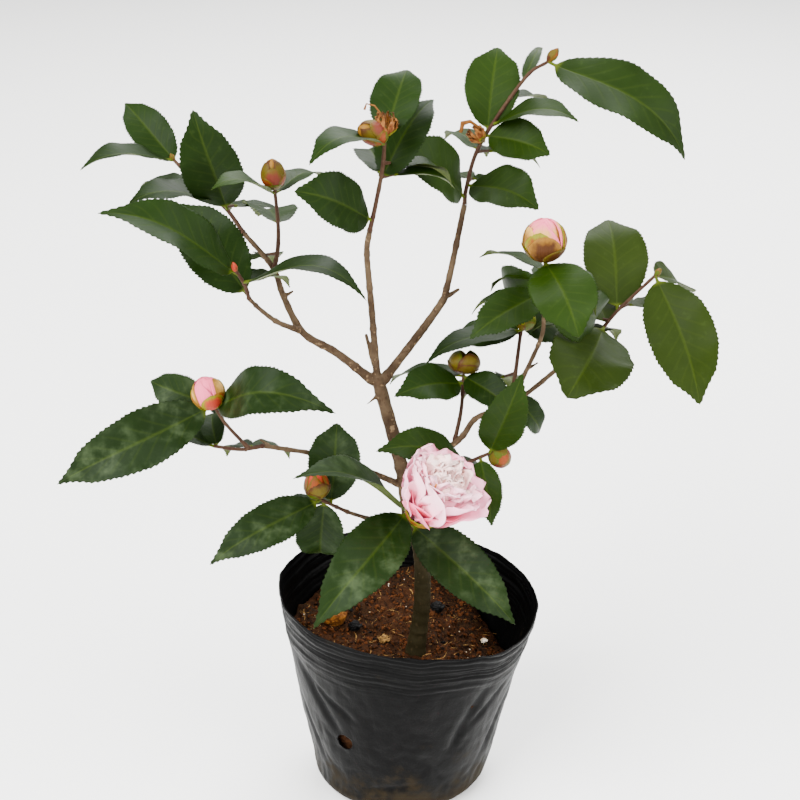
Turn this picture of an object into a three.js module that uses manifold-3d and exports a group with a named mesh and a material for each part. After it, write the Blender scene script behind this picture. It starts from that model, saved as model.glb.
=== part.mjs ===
// A young camellia in a soft nursery bag: bag, soil, trunk, boughs, and one solid for each leafy spray.
// Millimetres, +Z up. The origin is the centre of the bag's flat underside, -Y is the plant's front.
//
// A direction is a bearing (degrees round from +X, seen from above) and a rise (degrees above level).
// A limb is a start, a few legs of [bearing, rise, length], and a diameter at each end.

import * as THREE from 'three';
import { mergeVertices } from 'three/addons/utils/BufferGeometryUtils.js';
import Module from 'manifold-3d';

const wasm = await Module();
wasm.setup();

// ---------------------------------------------------------------- driving dimensions

const CLEAR = 0.3;                  // between any two neighbouring solids

const BAG = {
  soleRadius: 42,                   // flat underside
  footRadius: 52,                   // where the rounded edge meets the wall
  edgeHeight: 10,
  mouthRadius: 75,
  height: 121,                      // mean height of the rim
  lean: 5,                          // the rim's centre stands this far to the right of the underside's
  rimDrop: 6,                       // the rim is this much higher on the left and lower on the right
  flattening: 0.05,                 // the mouth is pulled a little flatter at the front
  corner: { bearing: -48, out: 0.05, spread: 20 },  // a soft corner at the mouth, as a share of the radius
  wall: 1,
  sides: 32,
  drain: { count: 3, radius: 5, height: 51, first: -124 },
};

const SOIL = {
  level: 93,                        // at the trunk
  heap: 3,                          // rise towards the back
  fall: 34,                         // drop towards the right
  lump: 2.5,                        // unevenness of the surface
  seatRadius: 9,                    // level patch that the trunk stands on
  rings: 7,
};

const TRUNK = {
  foot: [9, -20],
  legs: [[0, 84, 34], [180, 88, 32], [160, 71, 19], [120, 71, 32], [145, 72, 51]],
  diameters: [10, 7.2],
  flare: { width: 2, height: 7 },   // extra diameter at the foot, and how soon it is gone
  sides: 9,
};

const BOUGH_SIDES = 7;

// from: the limb that carries it; at: how far along that limb, 1 is its tip.
const BOUGHS = [
  { name: 'bough-upper-left', from: 'trunk', at: 0.98, diameters: [5, 2.6],
    legs: [[185, 41, 25], [176, 32, 20], [148, 56, 22], [138, 62, 17], [150, 42, 24]] },
  { name: 'bough-far-left', from: 'bough-upper-left', at: 0.41, diameters: [3.2, 2.2],
    legs: [[226, 31, 16], [233, 39, 15], [234, 45, 16]] },
  { name: 'bough-centre', from: 'trunk', at: 1, diameters: [4, 3],
    legs: [[250, 80, 44], [250, 79, 32], [300, 77, 14]] },
  { name: 'bough-upper-right', from: 'trunk', at: 0.98, diameters: [5, 3.2],
    legs: [[35, 43, 48], [39, 60, 14], [55, 69, 45]] },
  { name: 'bough-lower-right', from: 'trunk', at: 0.75, diameters: [4, 2.4],
    legs: [[8, 37, 33], [17, 49, 16], [18, 18, 26], [22, 33, 45]] },
  { name: 'bough-right-upright', from: 'bough-lower-right', at: 0.73, diameters: [2.8, 2.2],
    legs: [[-58, 69, 15], [-51, 65, 31], [-72, 77, 14]] },
  { name: 'bough-lower-left', from: 'trunk', at: 0.73, diameters: [3.6, 2.4],
    legs: [[194, 30, 22], [197, 26, 30], [200, 19, 30]] },
  { name: 'bough-low-front', from: 'trunk', at: 0.54, diameters: [3, 2.2],
    legs: [[205, 26, 19], [205, 29, 19]] },
];

const TWIG = { sides: 5, steps: 2, tip: 1.5 };      // sides of its section, rings a leg, tip diameter

const LEAF = {
  petiole: 0.05,                    // part of the length that is stalk
  stalk: 0.9,                       // half width of the stalk
  thickness: 0.02,                  // at the midrib, over the length
  arch: 0.1,                        // height of the bow over the length
  fold: 0.22,                       // how far the edges stand above the midrib, over the half width
  rings: 5,
};

// One entry for each spray. legs: its stem. leaves: [place on the stem, bearing, rise, length, lean, slender],
// where lean is how far the upper side turns from straight up towards the front, and slender is width over
// length; a seventh value rolls the blade, and an eighth bows it more or less than the rest.
// shoots: keys of the side twigs that chance adds on the far side. buds: [place, bearing, rise, length, diameter].
const SPRAYS = [
  { name: 'foliage-far-left', from: 'bough-far-left', at: 1, seed: 11, shoots: [56, 190],
    legs: [[250, 64, 10], [235, 56, 12]],
    leaves: [[0.85, 196, 33, 77, 30, 0.42], [0.1, 148, 45, 60, 60, 0.6], [0.6, -22, 2, 68, 0, 0.42, 0, 1.4]],
    buds: [[1, 230, 70, 6, 3]] },
  { name: 'foliage-left-bud', from: 'bough-upper-left', at: 0.78, seed: 37, shoots: [318],
    legs: [[-50, 74, 12], [-80, 74, 16], [-95, 70, 23]],
    leaves: [[0.95, 222, 17, 41, 10, 0.5],
      [0.66, 106, -8, 50, 8, 0.66, 12, 0.5], [0.95, 57, -3, 46, -5, 0.45]],
    buds: [[1, -100, 75, 18, 13]] },
  { name: 'foliage-rear-left', from: 'bough-upper-left', at: 1, seed: 23, shoots: [399, 392],
    legs: [[140, 40, 17], [144, 25, 19], [148, 36, 22]],
    leaves: [[1, 206, 4, 52, 5, 0.46], [0.97, 137, 32, 49, 50, 0.5], [0.3, 234, 68, 62, 80, 0.58],
      [0.46, 212, 11, 51, 10, 0.58]],
    buds: [[1, 150, 60, 5, 2.6]] },
  { name: 'foliage-top-centre', from: 'bough-centre', at: 1, seed: 41, shoots: [394, 64],
    legs: [[-18, 77, 14], [-45, 76, 23], [-63, 82, 17]],
    leaves: [[0.15, 211, 28, 49, 50, 0.68], [0.97, 70, 42, 43, 10, 0.68, 0, 0.3],
      [0.55, 51, 39, 55, 35, 0.5], [0.6, 102, -1, 44, 30, 0.5], [0.9, 222, 4, 48, 5, 0.56, 0, 1.3]],
    buds: [[0.97, 215, 27, 21, 13], [1, -60, 80, 13, 11]] },
  { name: 'foliage-upper-right', from: 'bough-upper-right', at: 1, seed: 53, shoots: [376, 354, 243],
    legs: [[70, 71, 9], [40, 67, 24], [19, 54, 42], [17, 33, 16]],
    leaves: [[0.12, 213, 35, 58, 45, 0.62, 0, 1.5], [0.27, -35, -5, 45, 38, 0.72, 0, 1.3], [0.48, 114, -6, 42, 0, 0.4],
      [0.54, -30, -6, 38, 55, 0.7], [0.58, -25, 11, 49, 15, 0.5, 0, 1.7], [0.55, 76, 59, 48, 60, 0.7],
      [0.74, 69, 20, 38, 20, 0.22], [1, -15, -30, 91, 35, 0.44, 0, 1.7]],
    buds: [[1, 17, 50, 10, 5.6], [0.52, 184, 46, 11, 9.5]] },
  { name: 'foliage-right-end', from: 'bough-lower-right', at: 1, seed: 61, shoots: [397, 356, 394],
    legs: [[18, 41, 14], [22, 45, 15], [22, 38, 27]],
    leaves: [[0.64, 92, 40, 60, 0, 0.68], [0.38, -116, -21, 57, 58, 0.88], [0.45, 99, 10, 40, 45, 0.7],
      [1, -59, -53, 75, 68, 0.56, 0, 1.3], [1, 59, -29, 49, 32, 0.58], [0.1, 66, -52, 43, 20, 0.5]],
    buds: [[1, 25, 45, 6, 3.4]] },
  { name: 'foliage-right-bud', from: 'bough-right-upright', at: 1, seed: 71, shoots: [398, 393, 388],
    legs: [[-90, 82, 17], [-115, 81, 17]],
    leaves: [[0.95, -72, -26, 51, 52, 0.74, 0, 1.3], [0.8, 135, -4, 46, -20, 0.45], [0.45, 217, -14, 51, 40, 0.5],
      [0.4, 116, -17, 50, 72, 0.62], [0.3, 49, -27, 58, 78, 0.6]],
    buds: [[1, -110, 80, 24, 22.5]] },
  { name: 'foliage-middle-bud', from: 'bough-lower-right', at: 0.7, seed: 83, shoots: [399, 246],
    legs: [[76, 35, 17], [77, 50, 23], [45, 60, 4]],
    leaves: [[0.92, 205, -5, 61, 5, 0.4], [0.75, 140, -22, 42, 42, 0.5], [0.9, 55, -16, 44, 55, 0.54],
      [0.95, 99, 2, 38, 10, 0.5], [0.1, 24, -54, 35, 40, 0.52]],
    buds: [[1, 60, 65, 13, 12.5]] },
  { name: 'foliage-open-bud', from: 'bough-lower-right', at: 0.22, seed: 97, shoots: [244],
    legs: [[70, 54, 17], [82, 62, 20]],
    leaves: [[0.85, 216, 8, 45, 40, 0.6], [0.95, 141, -17, 56, 0, 0.42], [0.95, -41, -16, 35, 50, 0.62]],
    buds: [[1, 70, 75, 14, 19]] },
  { name: 'foliage-behind-bloom', from: 'trunk', at: 0.72, seed: 103, shoots: [360, 83],
    legs: [[-6, 22, 16], [0, 34, 16], [0, 26, 18]],
    leaves: [[0.95, -49, 67, 59, 75, 0.46], [0.7, 206, 22, 56, 35, 0.5], [0.85, -73, -56, 38, 60, 0.5]],
    buds: [[1, 45, -45, 16, 12.5]] },
  { name: 'foliage-low-front', from: 'bough-low-front', at: 1, seed: 127, shoots: [398],
    legs: [[204, 35, 12], [207, 37, 9]],
    leaves: [[0.5, 82, 60, 44, 60, 0.72], [0.9, 207, -18, 68, 45, 0.4], [0.75, 103, -70, 46, 60, 0.66]],
    buds: [[1, 250, 78, 19, 14.5]] },
  { name: 'foliage-lower-left', from: 'bough-lower-left', at: 1, seed: 113, shoots: [42],
    legs: [[200, 0, 12], [196, 15, 15]],
    twig: { at: 0.33, legs: [[209, 54, 21], [205, 62, 14]] },
    leaves: [[0.95, 99, 11, 32, 60, 0.5], [1, 141, -9, 37, 10, 0.4]],
    twigLeaves: [[1, 197, -21, 90, 55, 0.38], [1, 162, 14, 37, 70, 0.6], [1, -18, 5, 67, 45, 0.46, 0, 3.2],
      [0.75, 93, -12, 30, 30, 0.6]],
    twigBuds: [[1, 220, 70, 19, 17.5]] },
  { name: 'bloom-spray', from: 'trunk', at: 0.57, seed: 131, shoots: [],
    legs: [[-98, 38, 15], [-86, 50, 15], [-75, -10, 10]],
    leaves: [[0.55, 215, 31, 82, 10, 0.38], [0.6, 229, -26, 83, 45, 0.44], [0.12, -38, -27, 80, 45, 0.42]],
    bloom: { neck: [-33, 55, 30], facing: [-35, 55], heart: 17, petals: 8, petal: 14 } },
];

const BUD_SIDES = 8;
const PETAL_FLAT = 0.25;            // thickness of a guard petal over its width
const SHOOT = {
  middle: 90, spread: 100,          // bearings they keep to, towards the back
  droop: 30,
  length: 10, more: 6,
  leaf: 30, leafMore: 10,
  splay: 38,                        // degrees of its two leaves to either side
};

// ---------------------------------------------------------------- directions, chance and solids

const UP = new THREE.Vector3(0, 0, 1);
const UP_Y = new THREE.Vector3(0, 1, 0);

function heading(bearing, rise) {
  const b = THREE.MathUtils.degToRad(bearing);
  const r = THREE.MathUtils.degToRad(rise);
  return new THREE.Vector3(Math.cos(b) * Math.cos(r), Math.sin(b) * Math.cos(r), Math.sin(r));
}

// The same number from 0 to 1 each time for the same key.
function chance(key) {
  const mixed = Math.sin(key * 12.9898) * 43758.5453;
  return mixed - Math.floor(mixed);
}

const WELD = 0.015;

function positionsOnly(geometry) {
  geometry.deleteAttribute('normal');
  geometry.deleteAttribute('uv');
  return mergeVertices(geometry, 1e-4);
}

function toSolid(geometry) {
  const shell = positionsOnly(geometry);
  return new wasm.Manifold(new wasm.Mesh({
    numProp: 3,
    vertProperties: new Float32Array(shell.attributes.position.array),
    triVerts: new Uint32Array(shell.index.array),
  }));
}

// The solid's faces as a mesh, where points nearer than WELD along an edge have become one point.
function toGeometry(solid) {
  const { vertProperties, triVerts } = solid.getMesh();
  const point = (i) => new THREE.Vector3().fromArray(vertProperties, i * 3);
  const joined = Array.from({ length: vertProperties.length / 3 }, (_, i) => i);
  const root = (i) => (joined[i] === i ? i : root(joined[i]));
  triVerts.forEach((from, k) => {
    const to = triVerts[k % 3 === 2 ? k - 2 : k + 1];
    if (point(from).distanceTo(point(to)) < WELD) joined[root(to)] = root(from);
  });
  const faces = [];
  for (let k = 0; k < triVerts.length; k += 3) {
    const face = [root(triVerts[k]), root(triVerts[k + 1]), root(triVerts[k + 2])];
    if (new Set(face).size === 3) faces.push(...face);
  }
  const geometry = new THREE.BufferGeometry();
  geometry.setAttribute('position', new THREE.BufferAttribute(new Float32Array(vertProperties), 3));
  geometry.setIndex(faces);
  return mergeVertices(geometry, 1e-5);
}

// The biggest piece of a solid: a scrap that touches nothing is dropped.
function biggest(solid) {
  const pieces = solid.decompose();
  pieces.sort((a, b) => b.volume() - a.volume());
  return pieces[0];
}

function fuse(solids) {
  return biggest(solids.reduce((whole, piece) => whole.add(piece)));
}

// A closed tube whose ring at place t (0 to 1) is centre(t) + across(t) * x + over(t) * z.
function sweep(sides, steps, ring) {
  const geometry = positionsOnly(new THREE.CylinderGeometry(1, 1, 1, sides, steps));
  const position = geometry.attributes.position;
  const vertex = new THREE.Vector3();
  for (let i = 0; i < position.count; i++) {
    vertex.fromBufferAttribute(position, i);
    const placed = ring(vertex.y + 0.5, vertex.x, vertex.z);
    position.setXYZ(i, placed.x, placed.y, placed.z);
  }
  return toSolid(geometry);
}

// ---------------------------------------------------------------- limbs

function route(start, legs) {
  const points = [start.clone()];
  for (const [bearing, rise, length] of legs) {
    points.push(points[points.length - 1].clone().addScaledVector(heading(bearing, rise), length));
  }
  return new THREE.CatmullRomCurve3(points, false, 'catmullrom', 0.5);
}

// A tapering tube along its legs. `slide` says how far each point of its base goes to lie on what carries it.
function makeLimb(start, legs, diameters, sides, { flare = { width: 0, height: 1 }, slide = () => 0 } = {}) {
  const curve = route(start, legs);
  const direction = heading(...legs[0]);
  const length = curve.getLength();
  const radius = (t) => (THREE.MathUtils.lerp(diameters[0], diameters[1], t)
    + flare.width * Math.exp(-t * length / flare.height)) / 2;
  const tangent = (t) => curve.getTangent(t);
  const steps = legs.length * TWIG.steps;
  const solid = sweep(sides, steps, (t, x, z) => {
    const along = t === 0 && flare.width > 0 ? UP : tangent(t);
    const across = new THREE.Vector3(0, 1, 0).cross(along).normalize();
    const over = across.clone().cross(along);
    const point = curve.getPoint(t).addScaledVector(across, x * radius(t)).addScaledVector(over, z * radius(t));
    return t === 0 ? point.addScaledVector(direction, slide(point)) : point;
  });
  return { curve, steps, radius, tangent, solid };
}

// Gap from a point to a limb's side, taken round from ring to ring.
function gapTo(limb, point) {
  let gap = Infinity;
  const line = new THREE.Line3();
  const nearest = new THREE.Vector3();
  for (let k = 0; k < limb.steps; k++) {
    const [from, to] = [k / limb.steps, (k + 1) / limb.steps];
    line.set(limb.curve.getPoint(from), limb.curve.getPoint(to));
    const share = line.closestPointToPointParameter(point, true);
    const radius = THREE.MathUtils.lerp(limb.radius(from), limb.radius(to), share);
    gap = Math.min(gap, line.at(share, nearest).distanceTo(point) - radius);
  }
  return gap;
}

// How far a point has to go along `direction` to lie CLEAR off its parent: off its end, or off its side.
function reach(parent, at, point, direction) {
  const tangent = parent.tangent(at);
  const off = point.clone().sub(parent.curve.getPoint(at));
  if (at === 1) return (CLEAR - off.dot(tangent)) / direction.dot(tangent);
  const outward = direction.clone().addScaledVector(tangent, -direction.dot(tangent));
  let near = -off.dot(outward) / outward.lengthSq();
  let far = near + 4 * (parent.radius(at) + CLEAR);
  for (let k = 0; k < 20; k++) {
    const middle = (near + far) / 2;
    if (gapTo(parent, point.clone().addScaledVector(direction, middle)) > CLEAR) far = middle;
    else near = middle;
  }
  return far;
}

// A limb whose base is cut to lie on its parent, CLEAR off it all round.
function growFrom(parent, at, legs, diameters, sides) {
  const direction = heading(...legs[0]);
  const centre = parent.curve.getPoint(at);
  const start = centre.clone().addScaledVector(direction, reach(parent, at, centre, direction));
  return makeLimb(start, legs, diameters, sides, { slide: (point) => reach(parent, at, point, direction) });
}

// ---------------------------------------------------------------- leaves, buds and bloom

// Half width of a leaf at place t, for a blade of half width 1: a stalk, then an oval with a drawn-out tip.
function outline(t) {
  const u = Math.max(0, (t - LEAF.petiole) / (1 - LEAF.petiole));
  return Math.pow(u, 0.62) * Math.pow(1 - u, 0.85) / 0.384;
}

// Height of the midrib over its chord, for a bow of height 1: straight at the foot, bent towards the tip.
function bow(t) {
  return Math.pow(t, 1.5) * (1 - t) / 0.186;
}

// A thin folded blade from `foot` along `along`, with its upper side turned to `face`.
function blade(foot, along, face, { length, width, arch, fold, rings }) {
  const over = face.clone().addScaledVector(along, -face.dot(along)).normalize();
  const across = along.clone().cross(over);
  const thickness = length * LEAF.thickness;
  return sweep(4, rings, (t, x, z) => {
    const half = Math.max(width / 2 * outline(t), t < 0.5 ? LEAF.stalk : 0.35);
    const thin = t === 1 ? 0.3 : thickness;
    const lift = fold * half * Math.abs(x) * Math.min(1, t * 4);
    return foot.clone().addScaledVector(along, length * t).addScaledVector(across, x * half)
      .addScaledVector(over, arch * length * bow(t) + lift + z * thin / 2);
  });
}

function makeLeaf(stem, [at, bearing, rise, length, lean, slender, roll = 0, bowed = 1], key) {
  const along = heading(bearing, rise);
  const face = heading(-90, 90 - lean).applyAxisAngle(along, THREE.MathUtils.degToRad(roll));
  return blade(stem.curve.getPoint(at), along, face, {
    length,
    width: length * slender,
    arch: LEAF.arch * bowed * (0.7 + 0.6 * chance(key)),
    fold: LEAF.fold * (0.6 + 0.8 * chance(key + 0.5)),
    rings: LEAF.rings,
  });
}

// An egg with its foot sunk in the stem.
function makeBud(stem, [at, bearing, rise, length, diameter]) {
  const along = heading(bearing, rise);
  const across = along.clone().cross(new THREE.Vector3(1, 0, 0)).normalize();
  const over = across.clone().cross(along);
  const foot = stem.curve.getPoint(at).addScaledVector(along, -1);
  const geometry = positionsOnly(new THREE.SphereGeometry(1, BUD_SIDES, 6));
  const position = geometry.attributes.position;
  for (let i = 0; i < position.count; i++) {
    const [x, y, z] = [position.getX(i), position.getY(i), position.getZ(i)];
    const narrow = diameter / 2 * (1 - 0.2 * Math.max(0, y));
    const placed = foot.clone().addScaledVector(along, length / 2 * (1 + y))
      .addScaledVector(across, x * narrow).addScaledVector(over, z * narrow);
    position.setXYZ(i, placed.x, placed.y, placed.z);
  }
  return toSolid(geometry);
}

// A rounded heart with a ring of round guard petals about it, on the end of its stem.
function makeBloom(stem, { neck, facing, heart, petals, petal }) {
  const tip = stem.curve.getPoint(1);
  const [bearing, rise, reach] = neck;
  const middle = tip.clone().addScaledVector(heading(bearing, rise), reach);
  const axis = heading(...facing);
  const across = axis.clone().cross(UP).normalize();
  const over = across.clone().cross(axis);
  const ball = new THREE.SphereGeometry(heart, 10, 7);
  ball.translate(middle.x, middle.y, middle.z);
  const calyx = sweep(TWIG.sides, 1, (t, x, z) => tip.clone().lerp(middle, t)
    .addScaledVector(across, x * (2 + 6 * t)).addScaledVector(over, z * (2 + 6 * t)));
  const pieces = [calyx, toSolid(ball)];
  for (let k = 0; k < petals; k++) {
    const turn = 2 * Math.PI * k / petals;
    const spread = across.clone().multiplyScalar(Math.cos(turn)).addScaledVector(over, Math.sin(turn));
    const geometry = positionsOnly(new THREE.SphereGeometry(petal, 8, 5));
    geometry.scale(1, PETAL_FLAT, 1);
    geometry.applyQuaternion(new THREE.Quaternion().setFromUnitVectors(UP_Y, axis));
    geometry.translate(...middle.clone().addScaledVector(spread, petal * 0.85).addScaledVector(axis, -4).toArray());
    pieces.push(toSolid(geometry));
  }
  return pieces;
}

// ---------------------------------------------------------------- a spray: stem, leaves, buds and far-side shoots

const touches = (piece, other) => piece.intersect(other).volume() > 1e-3;

function makeSpray(spray, taken) {
  const parent = limbs[spray.from];
  const thick = Math.min(2.6, 2 * parent.radius(spray.at) * 0.9);
  const stem = growFrom(parent, spray.at, spray.legs, [thick, TWIG.tip + 0.3], TWIG.sides);
  const pieces = [stem.solid];
  const dress = (twig, leaves = [], buds = [], key = 0) => {
    leaves.forEach((leaf, k) => pieces.push(makeLeaf(twig, leaf, spray.seed + key + k)));
    buds.forEach((bud) => pieces.push(makeBud(twig, bud)));
  };
  dress(stem, spray.leaves, spray.buds);
  if (spray.twig) {
    const twig = makeLimb(stem.curve.getPoint(spray.twig.at), spray.twig.legs, [2.2, TWIG.tip], TWIG.sides);
    pieces.push(twig.solid);
    dress(twig, spray.twigLeaves, spray.twigBuds, spray.leaves.length);
  }
  if (spray.bloom) pieces.push(...makeBloom(stem, spray.bloom));
  const clear = pieces.filter((piece) => !taken.some((other) => touches(piece, other)));
  return { spray, stem, solid: fuse(clear) };
}

// Far-side shoots, each grown by chance from its own key: a twig with two leaves, where there is room.
function addShoots({ spray, stem, solid }, others) {
  let grown = solid;
  for (const key of spray.shoots) {
    const bearing = SHOOT.middle + SHOOT.spread * (chance(key) - 0.5);
    const rise = -SHOOT.droop * (1 - chance(key + 0.2));
    const length = SHOOT.length + SHOOT.more * chance(key + 0.7);
    const foot = stem.curve.getPoint(0.2 + 0.5 * chance(key + 0.4));
    const twig = makeLimb(foot, [[bearing, rise, length]], [2, TWIG.tip], TWIG.sides);
    const leaves = [-1, 1].map((side) => makeLeaf(twig, [0.9, bearing + side * SHOOT.splay, rise - 8,
      SHOOT.leaf + SHOOT.leafMore * chance(key + side * 0.3), 0, 0.5], key + side * 0.1));
    if (others.some((other) => touches(twig.solid, other))) continue;
    const clear = leaves.filter((leaf) => !others.some((other) => touches(leaf, other)));
    grown = fuse([grown, twig.solid, ...clear]);
  }
  return grown;
}

// ---------------------------------------------------------------- bag and soil

// Outer radius of the bag wall at a height, before the mouth is flattened.
function wallRadius(height) {
  const share = (height - BAG.edgeHeight) / (BAG.height - BAG.edgeHeight);
  return THREE.MathUtils.lerp(BAG.footRadius, BAG.mouthRadius, share);
}

// Turns a round lathe into the bag's own form: flatter at the front, leaning and dropping to the right.
function settle(geometry) {
  geometry.rotateX(Math.PI / 2);
  const position = geometry.attributes.position;
  for (let i = 0; i < position.count; i++) {
    const [x, y, z] = [position.getX(i), position.getY(i), position.getZ(i)];
    const turn = Math.atan2(y, x);
    const share = Math.max(0, z / BAG.height);
    const flat = 1 - BAG.flattening * share * Math.max(0, -Math.sin(turn)) ** 4;
    const offCorner = (THREE.MathUtils.radToDeg(turn) - BAG.corner.bearing) / BAG.corner.spread;
    const grow = flat + BAG.corner.out * share ** 2 * Math.exp(-(offCorner ** 2));
    const out = Math.min(1, Math.hypot(x, y) / BAG.footRadius);
    position.setXYZ(i, x * grow + BAG.lean * share, y * grow,
      z - BAG.rimDrop * share ** 3 * Math.cos(turn) * out);
  }
  return geometry;
}

function bagProfile(inset) {
  const { soleRadius, footRadius, edgeHeight } = BAG;
  const middle = (soleRadius + footRadius) / 2;
  return [[0, inset], [soleRadius - inset, inset], [middle + 1.6 - inset * 0.9, edgeHeight * 0.3 + inset * 0.5],
    [footRadius - inset, edgeHeight]].map(([r, z]) => new THREE.Vector2(r, z));
}

function makeBag() {
  const outer = bagProfile(0);
  const inner = bagProfile(BAG.wall).reverse();
  const middle = BAG.height * 0.55;
  outer.push(new THREE.Vector2(wallRadius(middle), middle), new THREE.Vector2(BAG.mouthRadius, BAG.height));
  inner.unshift(new THREE.Vector2(BAG.mouthRadius - BAG.wall, BAG.height),
    new THREE.Vector2(wallRadius(middle) - BAG.wall, middle));
  let bag = toSolid(settle(new THREE.LatheGeometry([...outer, ...inner], BAG.sides)));
  const { count, radius, height, first } = BAG.drain;
  for (let k = 0; k < count; k++) {
    const turn = THREE.MathUtils.degToRad(first + 360 * k / count);
    const punch = new THREE.CylinderGeometry(radius, radius, 12, 12);
    punch.rotateZ(Math.PI / 2);
    punch.translate(wallRadius(height), 0, 0);
    punch.rotateZ(turn);
    punch.translate(BAG.lean * height / BAG.height, 0, height);
    bag = bag.subtract(toSolid(punch));
  }
  return bag;
}

// Height of the soil's surface: level at the trunk, heaped to the back, falling to the right, and uneven.
function soilHeight(x, y) {
  const [footX, footY] = TRUNK.foot;
  const [dx, dy] = [x - footX, y - footY];
  const away = Math.min(1, Math.max(0, Math.hypot(dx, dy) - SOIL.seatRadius) / 20);
  const heap = SOIL.heap * Math.max(0, dy) / BAG.mouthRadius;
  const fall = SOIL.fall * Math.max(0, dx) / BAG.mouthRadius;
  const lump = SOIL.lump * Math.sin(x / 9 + 1) * Math.cos(y / 11);
  return SOIL.level + away * (heap - fall + lump);
}

function makeSoil() {
  const inset = BAG.wall + CLEAR;
  const edge = SOIL.level - SOIL.fall;
  const rim = wallRadius(edge) - inset;
  const profile = bagProfile(inset);
  profile.push(new THREE.Vector2(rim, edge));
  for (let k = SOIL.rings - 1; k >= 0; k--) profile.push(new THREE.Vector2(rim * k / SOIL.rings, edge));
  const geometry = new THREE.LatheGeometry(profile, BAG.sides);
  const position = geometry.attributes.position;
  for (let i = 0; i < position.count; i++) {
    if (position.getY(i) < edge - 0.01) continue;
    const [x, y] = [position.getX(i), -position.getZ(i)];
    const top = soilHeight(x + BAG.lean * edge / BAG.height, y);
    const grow = (wallRadius(top) - inset) / rim;
    position.setXYZ(i, x * grow, top, -y * grow);
  }
  return toSolid(settle(geometry));
}

// ---------------------------------------------------------------- the plant

const group = new THREE.Group();

function addMesh(name, solid, colour, roughness) {
  const material = new THREE.MeshStandardMaterial({ color: colour, roughness, metalness: 0 });
  const mesh = new THREE.Mesh(toGeometry(solid), material);
  mesh.name = name;
  group.add(mesh);
}

addMesh('nursery-bag', makeBag(), 0x1c1d20, 0.45);
addMesh('soil', makeSoil(), 0x5a3220, 0.95);

const trunkFoot = new THREE.Vector3(...TRUNK.foot, SOIL.level + CLEAR);
const limbs = { trunk: makeLimb(trunkFoot, TRUNK.legs, TRUNK.diameters, TRUNK.sides, { flare: TRUNK.flare }) };
for (const { name, from, at, legs, diameters } of BOUGHS) {
  limbs[name] = growFrom(limbs[from], at, legs, diameters, BOUGH_SIDES);
}
for (const [name, limb] of Object.entries(limbs)) addMesh(name, limb.solid, 0x8a6a4a, 0.8);

const limbSolids = Object.values(limbs).map((limb) => limb.solid);
const sprays = [];
for (const spray of SPRAYS) {
  sprays.push(makeSpray(spray, [...limbSolids, ...sprays.map((made) => made.solid)]));
}
for (const made of sprays) {
  const others = sprays.filter((other) => other !== made).map((other) => other.solid);
  made.solid = addShoots(made, [...limbSolids, ...others]);
  addMesh(made.spray.name, made.solid, 0x2f5a2c, 0.45);
}

export default group;
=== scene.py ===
import math

import bpy
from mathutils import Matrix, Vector


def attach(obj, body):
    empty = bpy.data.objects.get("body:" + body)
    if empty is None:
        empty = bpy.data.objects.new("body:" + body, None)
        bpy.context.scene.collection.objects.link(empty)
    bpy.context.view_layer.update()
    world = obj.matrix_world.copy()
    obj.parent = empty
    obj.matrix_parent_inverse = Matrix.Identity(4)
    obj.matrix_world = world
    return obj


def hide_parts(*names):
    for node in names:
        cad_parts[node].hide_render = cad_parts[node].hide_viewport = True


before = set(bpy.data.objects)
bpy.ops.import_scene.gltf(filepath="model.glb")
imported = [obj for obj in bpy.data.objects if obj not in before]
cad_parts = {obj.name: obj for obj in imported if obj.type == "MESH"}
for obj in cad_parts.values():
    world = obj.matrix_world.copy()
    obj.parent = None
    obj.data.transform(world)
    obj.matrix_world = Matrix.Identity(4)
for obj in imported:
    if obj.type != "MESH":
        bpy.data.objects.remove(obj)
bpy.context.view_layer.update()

# ---------------------------------------------------------------- studio
# A pale floor and a soft white room. Two large panels light the plant from the front and a third from
# behind and above, as for a catalogue picture. None of it belongs to the plant.

FLOOR_SIZE = 6.0
FLOOR_COLOUR = (0.93, 0.93, 0.92)
FLOOR_SHADE = 0.985    # the paper's darker cloud, over its colour
ROOM_COLOUR = (1.0, 0.99, 0.97)
ROOM_LIGHT = 0.8
CAMERA_PLACE = (0.0, -0.85717, 0.63504)
CAMERA_PITCH = 24.64
CAMERA_LENS = 77.49
CAMERA_SENSOR = 36.0
PANELS = [
    # name, place, aimed at, width, watts
    ("panel-left", (-1.3, -1.2, 1.7), (0, 0, 0.22), 1.9, 215),
    ("panel-right", (1.5, -0.9, 1.2), (0, 0, 0.22), 1.7, 80),
    ("panel-back", (0.4, 1.4, 1.9), (0, 0, 0.25), 1.6, 130),
]


class Term:
    """A number carried through a node tree, so that a rule reads as plain arithmetic."""

    def __init__(self, tree, socket):
        self.tree = tree
        self.socket = socket


def put(tree, kind, sockets=(), **settings):
    """Puts a node into a tree; `sockets` gives some of its sockets a link or a plain value."""
    node = tree.nodes.new(kind)
    for name, value in settings.items():
        setattr(node, name, value)
    for key, value in dict(sockets).items():
        if isinstance(value, Term):
            value = value.socket
        if isinstance(value, bpy.types.NodeSocket):
            tree.links.new(value, node.inputs[key])
        else:
            node.inputs[key].default_value = value
    return node


def vector_work(tree, operation, first, second):
    """Two directions or places worked together, or one of them scaled by a number."""
    key = 3 if operation == "SCALE" else 1
    return put(tree, "ShaderNodeVectorMath", {0: first, key: second}, operation=operation).outputs[0]


def noise_at(tree, place, scale, detail=2.0, roughness=0.5, stretch=None):
    """Cloudy noise from 0 to 1, finer for a greater scale; `stretch` draws it out along an axis below 1."""
    if stretch:
        place = vector_work(tree, "MULTIPLY", place, stretch)
    node = put(tree, "ShaderNodeTexNoise",
               {"Vector": place, "Scale": scale, "Detail": detail, "Roughness": roughness})
    return Term(tree, node.outputs["Fac"])


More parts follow.
